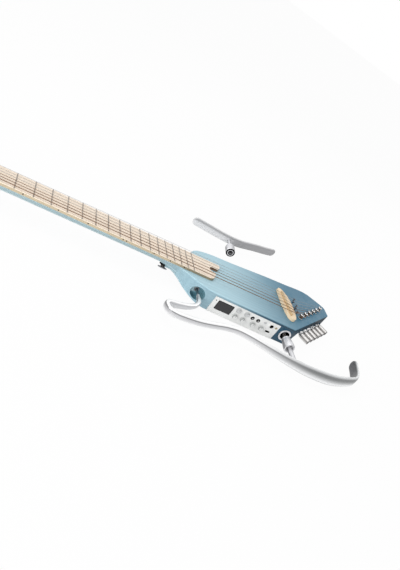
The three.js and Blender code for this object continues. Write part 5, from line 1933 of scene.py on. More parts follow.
@dataclass(frozen=True)
class Tuners:
    """Base plate, six posts with worm gears, and six knobs behind the tail.

    Attributes:
        count: how many tuners there are.
        first: the first post's place along the tail edge.
        pitch: from post to post.
        inset: from the tail edge to the posts.
        worm_offset: from a post to its worm.
        worm_height: the worms' height.
        gear_radius: a gear's radius over its teeth.
        gear_root: its radius between them.
        gear_foot: its height over the back plane.
        gear_thickness: its thickness.
        knob_radius: a knob's barrel.
        knob_length: its length.
        gap: from the tail edge to its root ring.
        ring: the root ring's thickness.
        shaft_end: the worm shaft's inner end.
        flutes: grooves round a knob's barrel.
    """

    count: int = 6
    first: float = 16.8 * MM
    pitch: float = 17.7 * MM
    inset: float = 19 * MM
    worm_offset: float = 6.2 * MM
    worm_height: float = 18.4 * MM
    gear_radius: float = 3.7 * MM
    gear_root: float = 3 * MM
    gear_foot: float = 16.2 * MM
    gear_thickness: float = 4.4 * MM
    knob_radius: float = 5 * MM
    knob_length: float = 21 * MM
    gap: float = 1.2 * MM
    ring: float = 2.2 * MM
    shaft_end: float = 32.2 * MM
    flutes: int = 12

    def build(self) -> list[bpy.types.Object]:
        """Builds the plate, the posts and the knobs.

        Returns:
            The finished objects.
        """
        made = [softened("tuner_base", "tuner_plate", TUNER_NICKEL, "tuner_steel", 0.2 * MM, 50)]
        for i in range(self.count):
            place = self.first + i * self.pitch
            made.append(self._post(i + 1, LAYOUT.tail @ at(place, self.inset, 0)))
            made.append(self._knob(i + 1, LAYOUT.tail @ at(place - self.worm_offset, 0, self.worm_height)))
        return made

    def _post(self, number: int, place: Matrix) -> bpy.types.Object:
        """Turns a post with a waisted barrel, a cap whose shallow dish is painted near-black as the shade of
        its opening, and its gear below.

        Args:
            number: the tuner's number.
            place: where the finished piece goes.

        Returns:
            The finished object.
        """
        piece = Piece(
            f"post_barrel_{number}",
            [TUNER_NICKEL, WELL_BLACK, POST_WAIST],
            body=f"post_{number}",
            stands_for=[f"tuner_post_{number}"],
            slot="tuner_steel",
        )
        profile = [
            (0, 14.8), (1.5, 14.8), (1.5, 16.2), (3, 16.5), (3, 38.3), (4.3, 38.3), (4.7, 38.6), (4.7, 39),
            (4.4, 39.3), (2.9, 39.3), (2.5, 39.7), (2.5, 44.4), (2.9, 45), (3.5, 45.1), (3.7, 45.4),
            (3.7, 46), (3.2, 46.5), (2.2, 46.6), (2.1, 46.1), (0, 46.1),
        ]
        piece.turn(profile, 36, unit=MM)
        piece.paint_ring(2, (-1, 3.72 * MM), (39.25 * MM, 45.9 * MM))
        # Painted shade: the cap's shallow dish is near-black, standing for the post's dark opening.
        piece.paint_ring(1, (-1, 2.18 * MM), (45 * MM, 1))
        self._gear(piece.mesh)
        return piece.finish(place)

    def _gear(self, bm: BMesh) -> None:
        """Extrudes the post's toothed wheel.

        Args:
            bm: the post's mesh.
        """
        teeth, corners = 12, 4
        sides = teeth * corners
        ring = bmesh.ops.create_circle(
            bm, cap_ends=True, segments=sides, radius=self.gear_radius, matrix=at(0, 0, self.gear_foot)
        )["verts"]
        for i, vert in enumerate(ring):
            if i % corners in (0, corners - 1):
                vert.co.x *= self.gear_root / self.gear_radius
                vert.co.y *= self.gear_root / self.gear_radius
        face = next(f for f in ring[0].link_faces if len(f.verts) == sides)
        grown = bmesh.ops.extrude_face_region(bm, geom=[face])["geom"]
        raised = [g for g in grown if isinstance(g, BMVert)]
        bmesh.ops.translate(bm, verts=raised, vec=(0, 0, self.gear_thickness))

    def _knob(self, number: int, place: Matrix) -> bpy.types.Object:
        """Turns a knob with a bright root ring, a fluted barrel and a dished end.

        Args:
            number: the tuner's number.
            place: where the finished piece goes.

        Returns:
            The finished object.
        """
        piece = Piece(
            f"knob_barrel_{number}",
            [KNOB_METAL, KNOB_END, TUNER_NICKEL],
            body=f"knob_{number}",
            stands_for=[f"tuner_knob_{number}"],
            slot="tuner_steel",
            smooth=45,
        )
        top = -self.gap - self.ring
        end = top - self.knob_length
        r = self.knob_radius
        profile = [
            (0, end + 0.7 * MM), (r * 0.55, end + 0.7 * MM), (r * 0.72, end), (r - 0.6 * MM, end),
            (r, end + 0.6 * MM), (r, end + 3 * MM), (r, top - 3 * MM), (r, top - 0.8 * MM),
            (r - 0.8 * MM, top), (3.2 * MM, top), (3.2 * MM, top + 0.5 * MM), (4 * MM, top + 0.6 * MM),
            (4 * MM, -self.gap), (2.2 * MM, -self.gap), (2.2 * MM, self.shaft_end), (0, self.shaft_end),
        ]
        rows = 4
        piece.turn(profile, self.flutes * rows)
        piece.flute((end + 2 * MM, top - 2 * MM), r * 0.9, self.flutes * rows, rows, 0, 0.03)
        piece.paint_ring(1, heights=(-1, end + 0.55 * MM))
        piece.paint_ring(2, heights=(top + 0.55 * MM, 1))
        return piece.finish(place @ quarter(-1))


@dataclass(frozen=True)
class ControlPanel:
    """White panel in the bass side with its screen, knobs, buttons and sockets.

    Attributes:
        length: the panel's length.
        height: its height.
        foot: its lower edge over the back plane.
        proud: how far it stands out of the side.
        knob_radius: a knob's radius.
        knob_height: a lower knob's height.
        low_height: an upper knob's height.
        button_radius: a ringed button's radius.
        small_radius: the small button's radius.
        button_rise: how far the buttons stand over the side.
        shaft_foot: where the knobs' shafts and the sockets' barrels end inside.
        upper_knobs: the upper knobs' places, in shares of the length and the height.
        lower_knobs: the lower knobs' places.
        ring_buttons: the ringed buttons' places.
        small_button: the small button's place.
        jack: the cable socket's place.
        screw: the screw's place.
        indicator: the indicator's place.
    """

    length: float = 138.6 * MM
    height: float = 30.5 * MM
    foot: float = 2.9 * MM
    proud: float = 0.6 * MM
    knob_radius: float = 5.1 * MM
    knob_height: float = 5.2 * MM
    low_height: float = 3 * MM
    button_radius: float = 2.5 * MM
    small_radius: float = 2.2 * MM
    button_rise: float = 2.2 * MM
    shaft_foot: float = -7.1 * MM
    upper_knobs: tuple[Spot, ...] = ((0.369, 0.774), (0.491, 0.774))
    lower_knobs: tuple[Spot, ...] = ((0.369, 0.348), (0.488, 0.348), (0.642, 0.348), (0.772, 0.348))
    ring_buttons: tuple[Spot, ...] = ((0.592, 0.7), (0.678, 0.7))
    small_button: Spot = (0.779, 0.774)
    jack: Spot = (0.887, 0.731)
    screw: Spot = (0.959, 0.74)
    indicator: Spot = (0.033, 0.777)

    @property
    def base(self) -> float:
        """Where a knob or a nut stands on the panel."""
        return self.proud + GAP

    def build(self) -> list[bpy.types.Object]:
        """Builds the panel and everything on it.

        Returns:
            The finished objects.
        """
        made = [self._plate(), self._screen(), self._jack(), self._port(), self._screw(), self._indicator()]
        for kind, spots, height, finish, slot in (
            ("upper_knob", self.upper_knobs, self.low_height, KNOB_GREY, "grey_plastic"),
            ("lower_knob", self.lower_knobs, self.knob_height, KNOB_WHITE, "white_plastic"),
        ):
            for i, spot in enumerate(spots, 1):
                made.append(self._knob(f"{kind}_{i}", spot, height, finish, slot))
        for i, spot in enumerate(self.ring_buttons, 1):
            finishes = [PANEL_BLACK, KNOB_GREY]
            made.append(self._button(f"ring_button_{i}", spot, self.button_radius, finishes, "black_plastic"))
        finishes, spot = [KNOB_GREY, KNOB_GREY], self.small_button
        made.append(self._button("small_button", spot, self.small_radius, finishes, "grey_plastic"))
        dress("circuit_board", BOARD_GREEN)
        dress("battery", BATTERY_WRAP)
        made.append(softened("battery_cover", "back_cover", PANEL_BLACK, "black_plastic", 0.4 * MM, 50))
        return made

    def _on_panel(self, spot: Spot) -> Matrix:
        """Stands a shape made about Z on the panel, its height running out of the side."""
        along, up = spot
        return LAYOUT.side @ at(along * self.length, 0, self.foot + up * self.height) @ quarter(1)

    def _plate(self) -> bpy.types.Object:
        """Softens the panel, draws it down to the back and sets a black collar round each ringed button.

        Returns:
            The finished object.
        """
        finishes = [PANEL_WHITE, PANEL_BLACK]
        piece = Piece("panel_plate", finishes, stands_for=["control_panel"], slot="white_plastic", smooth=30)
        piece.add_node("control_panel")
        piece.soften(0.2 * MM, 2, 60)
        lip = (self.length, 0.5 * MM, 2.85 * MM)
        piece.block(lip, LAYOUT.side @ at(self.length / 2, -0.35 * MM, 1.575 * MM))
        inner, outer = self.button_radius + 0.35 * MM, self.button_radius + 1.1 * MM
        low, high = self.proud - 0.1 * MM, self.proud + 0.25 * MM
        collar = [(inner, low), (outer, low), (outer, high), (inner, high), (inner, low)]
        for spot in self.ring_buttons:
            piece.turn(collar, 32, self._on_panel(spot), number=1)
        return piece.finish()

    def _screen(self) -> bpy.types.Object:
        """Builds the display's dark bezel and its slightly sunk glass.

        Returns:
            The finished object.
        """
        piece = Piece("screen_glass", [PANEL_BLACK, DISPLAY], stands_for=["screen"], slot="screen", smooth=30)
        piece.add_node("screen")
        into = LAYOUT.side.inverted()
        piece.mesh.normal_update()
        outer = [f for f in piece.mesh.faces if (into @ f.calc_center_median()).y < -0.7 * MM]
        front = max(outer, key=lambda f: f.calc_area())
        front.material_index = 1
        bmesh.ops.inset_individual(piece.mesh, faces=[front], thickness=0.7 * MM, depth=0)
        bmesh.ops.inset_individual(piece.mesh, faces=[front], thickness=0.1 * MM, depth=-0.12 * MM)
        piece.paint_faces(0, lambda f: f is not front)
        return piece.finish()

    def _knob(self, name: str, spot: Spot, height: float, finish: Finish, slot: str) -> bpy.types.Object:
        """Turns a knob with a skirt, a ribbed barrel, a dished top and a pointer.

        Args:
            name: the CAD node's name.
            spot: its place on the panel in shares.
            height: its height over the panel.
            finish: its plastic.
            slot: a material slot's name, kept on the piece.

        Returns:
            The finished object.
        """
        finishes = [finish, POINTER_GREY, KNOB_WALL_SHADE]
        piece = Piece(f"{name}_cap", finishes, body=f"{name}_body", stands_for=[name], slot=slot, smooth=45)
        base, top, r = self.base, self.base + height, self.knob_radius
        profile = [
            (0, self.shaft_foot), (1.6 * MM, self.shaft_foot), (1.6 * MM, base), (r, base),
            (r, base + 0.7 * MM), (r - 0.5 * MM, base + 1.1 * MM), (r - 0.7 * MM, top - 0.7 * MM),
            (r - 1.3 * MM, top - 0.1 * MM), (r - 1.8 * MM, top), (r - 2.2 * MM, top - 0.25 * MM),
            (0, top - 0.35 * MM),
        ]
        steps = 48
        piece.turn(profile, steps)
        piece.flute((base + MM, top - 0.6 * MM), r - 0.8 * MM, steps, 2, 1, 0.05)
        piece.mesh.normal_update()
        # Their upright walls take the painted shade.
        piece.paint_faces(
            2, lambda f: abs(f.normal.z) < 0.75 and base < f.calc_center_median().z < top - 0.2 * MM
        )
        piece.block((0.6 * MM, 2.6 * MM, 0.3 * MM), at(0, r - 2.6 * MM, top - 0.02 * MM), 1)
        return piece.finish(self._on_panel(spot))

    def _button(
        self, name: str, spot: Spot, radius: float, finishes: Sequence[Finish], slot: str
    ) -> bpy.types.Object:
        """Turns a push button with a collar and a domed cap.

        Args:
            name: the CAD node's name.
            spot: its place on the panel in shares.
            radius: its radius.
            finishes: the collar's finish and the cap's.
            slot: a material slot's name, kept on the piece.

        Returns:
            The finished object.
        """
        piece = Piece(f"{name}_cap", finishes, body=f"{name}_body", stands_for=[name], slot=slot, smooth=40)
        rise = self.button_rise
        profile = [
            (0, -3.2 * MM), (radius + 0.7 * MM, -3.2 * MM), (radius + 0.7 * MM, -2.2 * MM),
            (radius, -2.2 * MM), (radius, rise - 0.3 * MM), (radius - 0.3 * MM, rise),
            (radius * 0.62, rise), (radius * 0.58, rise - 0.25 * MM), (radius * 0.46, rise - 0.1 * MM),
            (radius * 0.25, rise), (0, rise),
        ]
        piece.turn(profile, 32)
        piece.paint_ring(1, (-1, radius * 0.45), (rise - 0.3 * MM, 1))
        return piece.finish(self._on_panel(spot))

    def _jack(self) -> bpy.types.Object:
        """Turns the cable socket: a pale nut round a black barrel.

        Returns:
            The finished object.
        """
        finishes = [KNOB_WHITE, PANEL_BLACK]
        piece = Piece("jack_barrel", finishes, stands_for=["jack_socket"], slot="black_plastic", smooth=40)
        base, foot = self.base / MM, self.shaft_foot / MM
        profile = [
            (3.2, foot), (4.4, foot), (4.4, base), (5.4, base), (5.4, 1.6), (5.1, 1.9), (3.6, 1.9),
            (3.2, 1.5), (3.2, foot),
        ]
        piece.turn(profile, 36, unit=MM)
        piece.paint_ring(1, (-1, 3.7 * MM))
        return piece.finish(self._on_panel(self.jack))

    @staticmethod
    def _port() -> bpy.types.Object:
        """Softens the charging socket's shell."""
        return softened("port_shell", "charge_port", PANEL_BLACK, "dark_steel", 0.12 * MM, 60, 40)

    def _screw(self) -> bpy.types.Object:
        """Turns the screw and sets a black cross into its head, painted shade for a recessed cross.

        Returns:
            The finished object.
        """
        finishes = [BRASS_SCREW, PANEL_BLACK]
        piece = Piece("panel_screw_head", finishes, stands_for=["panel_screw"], slot="screw_brass", smooth=40)
        base = self.base / MM
        profile = [
            (0, base - 7), (0.6, base - 6.6), (1.1, base - 6), (1.1, base), (2.2, base), (2.2, base + 0.35),
            (1.8, base + 0.7), (1.1, base + 0.88), (0, base + 0.9),
        ]
        piece.turn(profile, 28, unit=MM)
        # Painted shade: the black cross stands for the recess of a cross head.
        for turn in (0, 1):
            piece.block((2.4 * MM, 0.45 * MM, 0.3 * MM), at(0, 0, (base + 0.8) * MM) @ quarter(turn, "Z"), 1)
        return piece.finish(self._on_panel(self.screw))

    def _indicator(self) -> bpy.types.Object:
        """Turns the indicator's domed lens.

        Returns:
            The finished object.
        """
        node = "indicator_light"
        piece = Piece("indicator_lens", [PANEL_BLACK], stands_for=[node], slot="grey_plastic", smooth=50)
        profile = [(0, -7.1), (0.9, -7.1), (0.9, 0.35), (0.7, 0.55), (0.35, 0.62), (0, 0.62)]
        piece.turn(profile, 24, self._on_panel(self.indicator), MM)
        return piece.finish()


@dataclass(frozen=True)
class Sockets:
    """The two sleeve sockets, the front bush and the strap button.

    Attributes:
        flange: a socket's outer radius.
        bore: its bore.
        leg_bore: the leg rest's socket's bore.
        depth: its depth.
        proud: how far its face stands out.
        wall: the thickness of its wall and of its floor.
        edge: the cut along its flange's edges.
        stud: radius of the stud in its middle.
        rear_rod: the frame's rear rod along X.
        front_rod: its front rod along X.
        leg_place: the leg rest's socket along X.
        leg_reach: its distance from the centre line.
        leg_lean: the leg rest's lean.
        strap_place: the strap button along X.
        strap_seat: height of the neck's flat in its middle.
        strap_rest: height of the neck's back where the felt lies.
        strap_side: how far the button sits round the neck's back, to the bass side.
        strap_lean: its lean to that side.
        felt_press: how far the button presses the felt in.
        button_short: how much shorter the button is than its solid.
    """

    flange: float = 12 * MM
    bore: float = 8.7 * MM
    leg_bore: float = 10.05 * MM
    depth: float = 15 * MM
    proud: float = 1 * MM
    wall: float = 1.6 * MM
    edge: float = 0.5 * MM
    stud: float = 3 * MM
    rear_rod: float = -1.2 * MM
    front_rod: float = -186 * MM
    leg_place: float = -87 * MM
    leg_reach: float = 69 * MM
    leg_lean: float = math.radians(8.3)
    strap_place: float = -248.5 * MM
    strap_seat: float = 19.8 * MM
    strap_rest: float = 20.9 * MM
    strap_side: float = 8 * MM
    strap_lean: float = math.radians(24)
    felt_press: float = 0.1 * MM
    button_short: float = 1.7 * MM

    @property
    def leg_stand(self) -> Matrix:
        """Y out of the treble side, the way that the leg rest slides."""
        return at(self.leg_place, self.leg_reach, LAYOUT.middle) @ Matrix.Rotation(-self.leg_lean, 4, "Z")

    def build(self) -> list[bpy.types.Object]:
        """Builds both sockets, the bush, the felt and the button.

        Returns:
            The finished objects.
        """
        bass = at(self.rear_rod, LAYOUT.bass_side(self.rear_rod), LAYOUT.middle) @ quarter(1)
        return [
            self._socket("bass_socket", bass, self.bore),
            self._socket("treble_socket", self.leg_stand @ quarter(-1), self.leg_bore),
            self._bush(),
            self._strap_felt(),
            self._strap_button(),
        ]

    def _socket(self, node: str, place: Matrix, bore: float) -> bpy.types.Object:
        """Turns a socket: a bright flange round a black well with a stud.

        Args:
            node: the CAD node's name.
            place: where its face goes, with Z out of the body.
            bore: its bore's radius.

        Returns:
            The finished object.
        """
        finishes = [TURNED_ALLOY, WELL_BLACK, POST_WAIST]
        piece = Piece(f"{node}_ring", finishes, stands_for=[node], slot="silver_alloy", smooth=40)
        face, edge, stud = self.proud, self.edge, self.stud
        floor, outer, hole = face - self.depth, self.bore + self.wall, 1.4 * MM
        profile = [
            (0, floor - self.wall), (outer, floor - self.wall), (outer, face - 2.4 * MM),
            (self.flange, face - 2.4 * MM), (self.flange, face - edge), (self.flange - edge, face),
            (bore + edge, face), (bore, face - edge), (bore, face - 1.5 * MM),
            (bore - 0.1 * MM, face - 1.6 * MM), (bore - 0.1 * MM, floor), (stud, floor),
            (stud, face - 3.4 * MM), (stud - 0.4 * MM, face - 3 * MM), (hole, face - 3 * MM), (hole, floor),
            (0, floor),
        ]
        piece.turn(profile, 56)
        piece.paint_ring(2, (-1, stud * 1.01))
        piece.paint_ring(1, (stud * 0.97, bore + 0.05 * MM), (-1, face - 1.4 * MM))
        piece.paint_ring(1, (-1, hole + 0.05 * MM), (floor - MM, 1))
        return piece.finish(place)

    def _bush(self) -> bpy.types.Object:
        """Turns the bright bush in the front recess.

        Returns:
            The finished object.
        """
        finishes = [CUP_ALLOY, BUSH_SHADE]
        piece = Piece("front_bush_ring", finishes, stands_for=["front_bush"], slot="silver_alloy")
        profile = [
            (2.4, 18.5), (4.6, 18.5), (4.6, 38.6), (4.2, 39.1), (2.9, 39.1), (2.4, 38.7), (2.4, 37.5),
            (2.4, 18.5),
        ]
        piece.turn(profile, 40, unit=MM)
        piece.paint_ring(1, (-1, 2.5 * MM), (-1, 37.6 * MM))
        return piece.finish(at(self.front_rod, 0, LAYOUT.middle) @ quarter(1))

    @property
    def _strap_stand(self) -> Matrix:
        """Leans the strap button round the neck's back."""
        seat = at(self.strap_place, -self.strap_side, self.strap_rest)
        return seat @ Matrix.Rotation(-self.strap_lean, 4, "X") @ at(0, 0, -self.strap_seat)

    def _strap_felt(self) -> bpy.types.Object:
        """Rounds the felt washer's rims.

        Returns:
            The finished object.
        """
        low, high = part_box("strap_felt")
        piece = Piece("strap_washer", [BLACK_FELT], stands_for=["strap_felt"], slot="black_felt", smooth=60)
        foot, top = low.z + self.felt_press, high.z
        r, bore, edge = (high.x - low.x) / 2, 2.1 * MM, 0.7 * MM
        rim, rise = r - 0.2 * MM, 0.3 * MM
        profile = [
            (bore, foot), (r - edge, foot), (rim, foot + rise), (r, foot + edge), (r, top - edge),
            (rim, top - rise), (r - edge, top), (bore, top), (bore, foot),
        ]
        piece.turn(profile, 44)
        return piece.finish(self._strap_stand)

    def _strap_button(self) -> bpy.types.Object:
        """Turns the waisted button with a dished face and a near-black bar set in as the painted shade of a
        screw slot.

        Returns:
            The finished object.
        """
        finishes = [CUP_ALLOY, WELL_BLACK, POST_WAIST]
        piece = Piece("strap_stud", finishes, stands_for=["strap_button"], slot="tuner_steel", smooth=45)
        felt_low, felt_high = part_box("strap_felt")
        top = felt_low.z + self.felt_press - GAP
        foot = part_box("strap_button")[0].z + self.button_short
        turns = [
            (0, 0.13), (2.6, 0.13), (3.4, 0.06), (6.2, 0), (7.6, 0.04), (8.4, 0.16), (8.6, 0.27), (7.4, 0.36),
            (5, 0.44), (3.8, 0.54), (3.6, 0.66), (3.9, 0.77), (4.9, 0.9), (5.8, 1), (1.8, 1),
        ]
        profile = [(r * MM, lerp(foot, top, rise)) for r, rise in turns]
        profile += [(1.8 * MM, felt_high.z), (0, felt_high.z)]
        piece.turn(profile, 48)
        piece.paint_ring(2, heights=(lerp(foot, top, 0.42), 1))
        # Painted shade: a near-black bar set into the face stands for the screw slot.
        piece.block((4.4 * MM, 0.8 * MM, 0.4 * MM), at(0, 0, foot + 0.85 * MM), 1)
        return piece.finish(self._strap_stand)


SOCKETS = Sockets()


@dataclass(frozen=True)
class LockSleeve:
    """A sleeve that turns on a rod and seats in a socket.

    Attributes:
        length: its length.
        nose: its nose's radius.
        rear: its rear radius.
        rod: the rod's radius.
        cup: radius of the open cup at its rear.
        cup_depth: the cup's depth.
        edge: the cut along its outer edges.
        tapers: whether it narrows onto its rod instead of ending in the cup.
    """

    length: float
    nose: float
    rear: float
    rod: float
    cup: float = 7 * MM
    cup_depth: float = 4 * MM
    edge: float = 0.8 * MM
    tapers: bool = False

    def build(self, name: str, node: str, body: str, place: Matrix) -> bpy.types.Object:
        """Turns the sleeve.

        Args:
            name: the piece's name.
            node: the CAD node that it replaces.
            body: the body that it rides on.
            place: where its nose goes, with the rear along Z.

        Returns:
            The finished object.
        """
        finishes = [TURNED_ALLOY, WELL_BLACK, RING_ALLOY]
        piece = Piece(name, finishes, body=body, stands_for=[node], slot="silver_alloy", smooth=40)
        inner, nose, edge = self.rod + GAP, self.nose, self.edge
        neck = nose - 0.25 * MM
        profile = [
            (inner, 0.5 * MM), (inner + 0.3 * MM, 0.05 * MM), (nose * 0.56, 0), (nose * 0.7, 0),
            (nose - edge, 0), (nose, edge), (nose, 2.2 * MM), (neck, 2.4 * MM), (neck, 3 * MM),
            (nose + 0.05 * MM, 3.2 * MM),
        ]
        profile += self._taper(inner) if self.tapers else self._cup(inner)
        piece.turn(profile, 56)
        piece.paint_ring(2, (-1, self.cup + 0.05 * MM), (self.length / 2, 1))
        # Painted shade: the bore is near-black for the gap round the rod.
        piece.paint_ring(1, (-1, inner + 0.05 * MM))
        if self.tapers:
            piece.paint_ring(0, heights=(self.length / 2, 1))
            for dark in ((-1, nose * 0.57), (nose * 0.69, 1)):
                piece.paint_ring(1, dark, (-1, 0.7 * MM))
        return piece.finish(place)

    def _cup(self, inner: float) -> list[Spot]:
        """The rest of the outline round an open cup.

        Args:
            inner: the bore's radius.

        Returns:
            Pairs of radius and height.
        """
        rear, length, edge, cup = self.rear, self.length, self.edge, self.cup
        share, seat = length * 0.67, length - self.cup_depth
        return [
            (rear - 0.15 * MM, share - MM), (rear, share), (rear, length - edge),
            (rear - 0.3 * MM, length - 0.2 * MM), (rear - edge, length), (cup + 0.5 * MM, length),
            (cup, length - 0.5 * MM), (cup, seat), (inner, seat), (inner, 0.5 * MM),
        ]

    def _taper(self, inner: float) -> list[Spot]:
        """The rest of the outline down to the rod.

        Args:
            inner: the bore's radius.

        Returns:
            Pairs of radius and height.
        """
        rear, length = self.rear, self.length
        return [
            (rear, 5.5 * MM), (rear, length * 0.58), (rear * 0.96, length * 0.66),
            (rear * 0.84, length * 0.74), (rear * 0.62, length * 0.82), (inner + MM, length * 0.9),
            (inner + 0.5 * MM, length), (inner, length), (inner, 0.5 * MM),
        ]


@dataclass(frozen=True)
class BoutFrame:
    """The clip-on bout: a rod that widens into a tall band and curls in at the tail.

    Attributes:
        length: its extent along X.
        depth: its extent along Y.
        front: its foremost point along X.
        shallow: its front rod's tip along Y.
        tail: height of the band at the tail end.
        front_height: height at the hairpin.
        wide: height where it is tallest.
        thickness: the band's thickness.
        rod: its front end's radius.
        rod_tip: that end's radius at its very start.
        rear_rod: its rear rod's radius.
        steps: rings along the band.
        route: its middle line, in shares of the length and the depth.
    """

    length: float = 424 * MM
    depth: float = 87 * MM
    front: float = -252.992 * MM
    shallow: float = -55.2 * MM
    tail: float = 21.6 * MM
    front_height: float = 12.4 * MM
    wide: float = 24.2 * MM
    thickness: float = 8 * MM
    rod: float = 3.8 * MM
    rod_tip: float = 2.6 * MM
    rear_rod: float = 4.5 * MM
    steps: int = 220
    route: tuple[Spot, ...] = (
        (0.158, 0), (0.158, 0.124), (0.152, 0.251), (0.132, 0.387), (0.098, 0.495), (0.07, 0.546),
        (0.043, 0.584), (0.021, 0.6), (0.007, 0.623), (0, 0.679), (0.002, 0.745), (0.009, 0.806),
        (0.022, 0.846), (0.045, 0.867), (0.074, 0.864), (0.113, 0.848), (0.154, 0.814), (0.211, 0.738),
        (0.27, 0.653), (0.329, 0.617), (0.386, 0.66), (0.47, 0.777), (0.555, 0.895), (0.644, 0.977),
        (0.742, 0.993), (0.812, 0.953), (0.894, 0.828), (0.943, 0.708), (0.97, 0.521), (0.987, 0.308),
        (0.996, 0.163), (1.001, 0.056),
    )

    def build(self) -> list[bpy.types.Object]:
        """Builds the frame and its lock sleeve.

        Returns:
            The finished objects.
        """
        sleeve = LockSleeve(25.5 * MM, 8.1 * MM, 9.9 * MM, self.rear_rod)
        near = LAYOUT.bass_side(SOCKETS.rear_rod) - 9 * MM
        place = at(SOCKETS.rear_rod, near, LAYOUT.middle) @ quarter(1)
        return [self._frame(near), sleeve.build("frame_lock_sleeve", "frame_sleeve", "frame_lock", place)]

    def _frame(self, near: float) -> bpy.types.Object:
        """Sweeps the band and stands the two rods on it; near is the sleeve's nose along Y.

        Args:
            near: the sleeve's nose along Y.

        Returns:
            The finished object.
        """
        piece = Piece(
            "frame_band",
            [BAND_ALLOY, TURNED_ALLOY, SHADED_ROD],
            body="frame",
            stands_for=["bout_frame"],
            slot="silver_alloy",
            smooth=60,
            weighted=False,
        )
        points = [
            Vector((self.front + along * self.length, self.shallow - out * self.depth, LAYOUT.middle))
            for along, out in self.route
        ]
        sweep = Sweep(smooth_route(points))
        cap = self.tail / 2 / sweep.length

        def section(share: float) -> tuple[float, float]:
            """Thickness and height at a share of the length.

            Args:
                share: the share of the route's length.

            Returns:
                The thickness and the height.
            """
            grow = smoothstep(share, 0.03, 0.15)
            rod = 2 * lerp(self.rod_tip, self.rod, smoothstep(share, 0, 0.03))
            wide = lerp(self.wide, self.tail, smoothstep(share, 0.78, 1))
            height = lerp(self.front_height, wide, smoothstep(share, 0.44, 0.78))
            size = cap_size(share, 0, cap)
            return lerp(rod, self.thickness, grow) * math.sqrt(size), lerp(rod, height, grow) * size

        sweep.build(piece.mesh, cap_stops(self.steps, 0, cap), section)
        rear = SOCKETS.rear_rod
        side = (p for p in sweep.route if p.y < self.shallow - self.depth / 2)
        outer = min(side, key=lambda p: abs(p.x - rear))
        self._rod(piece, rear, (outer.y, near - 4 * MM), self.rear_rod, 1)
        self._rod(piece, SOCKETS.front_rod, (self.shallow - self.rod, -36.5 * MM), 1.9 * MM, 2)
        return piece.finish()

    @staticmethod
    def _rod(piece: Piece, x: float, ends: Ramp, radius: float, number: int) -> None:
        """Turns a rod across the frame, with a rounded tip, in the finish of that number.

        Args:
            piece: the frame's piece.
            x: the rod's place along X.
            ends: its start and its end along Y.
            radius: its radius.
            number: the material's number among the piece's finishes.
        """
        length = ends[1] - ends[0]
        profile = [(0, 0), (radius, 0), (radius, length - 0.5 * MM), (radius - 0.5 * MM, length), (0, length)]
        piece.turn(profile, 32, at(x, ends[0], LAYOUT.middle) @ quarter(-1), number=number)


@dataclass(frozen=True)
class LegRest:
    """The leg rest, taken off: a flat curved bar on a stem with its own lock sleeve.

    Attributes:
        length: the bar's drawn length.
        rise: the bar's drawn rise.
        band: its height.
        thickness: its thickness.
        pull: how far it stands from its seat.
        stem: the stem's radius.
        stem_start: from the sleeve's nose to the stem's end in it.
        stem_length: from the sleeve's rear to the bar.
        sleeve_length: the sleeve's length.
        steps: rings along the bar.
        route: its middle line, in shares of the length and the rise.
    """

    length: float = 224.5 * MM
    rise: float = 40.5 * MM
    band: float = 18.4 * MM
    thickness: float = 6 * MM
    pull: float = 76 * MM
    stem: float = 3.2 * MM
    stem_start: float = 12.6 * MM
    stem_length: float = 21 * MM
    sleeve_length: float = 34 * MM
    steps: int = 120
    route: tuple[Spot, ...] = (
        (-0.396, -0.03), (-0.343, -0.017), (-0.234, -0.012), (-0.125, -0.012), (-0.013, 0.025), (0.107, 0.19),
        (0.212, 0.477), (0.318, 0.807), (0.426, 1.096), (0.501, 1.321), (0.574, 1.551),
    )

    def build(self) -> list[bpy.types.Object]:
        """Builds the bar with its stem, and the sleeve.

        Returns:
            The finished objects.
        """
        sleeve = LockSleeve(self.sleeve_length, 9.3 * MM, 9.6 * MM, self.stem, tapers=True)
        place = SOCKETS.leg_stand @ at(0, self.pull, 0) @ quarter(-1)
        return [self._bar(), sleeve.build("leg_lock_sleeve", "leg_sleeve", "leg_lock", place)]

    def _bar(self) -> bpy.types.Object:
        """Sweeps the bar and turns its stem.

        Returns:
            The finished object.
        """
        piece = Piece(
            "leg_bar",
            [REST_ALLOY, TURNED_ALLOY, WELL_BLACK],
            body="leg",
            stands_for=["leg_rest"],
            slot="silver_alloy",
            smooth=60,
            weighted=False,
        )
        bar = self.pull + self.sleeve_length + self.stem_length
        points = [Vector((along * self.length, bar + out * self.rise, 0)) for along, out in self.route]
        sweep = Sweep(smooth_route(points))
        cap = self.band / 2 / sweep.length

        def section(share: float) -> tuple[float, float]:
            """Thickness and height at a share of the length."""
            size = cap_size(share, cap, cap)
            return self.thickness * math.sqrt(size), self.band * size

        sweep.build(piece.mesh, cap_stops(self.steps, cap, cap), section)
        start, r, edge = self.pull + self.stem_start, self.stem, 0.4 * MM
        profile = [(0, start), (r - edge, start), (r, start + edge), (r, start + 8 * MM), (r, bar), (0, bar)]
        piece.turn(profile, 32, quarter(-1), number=1)
        # Painted shade: the stem is near-black where it sits in the sleeve's bore.
        piece.paint_faces(2, lambda f: f.calc_center_median().y < start + self.sleeve_length / 2)
        return piece.finish(SOCKETS.leg_stand)


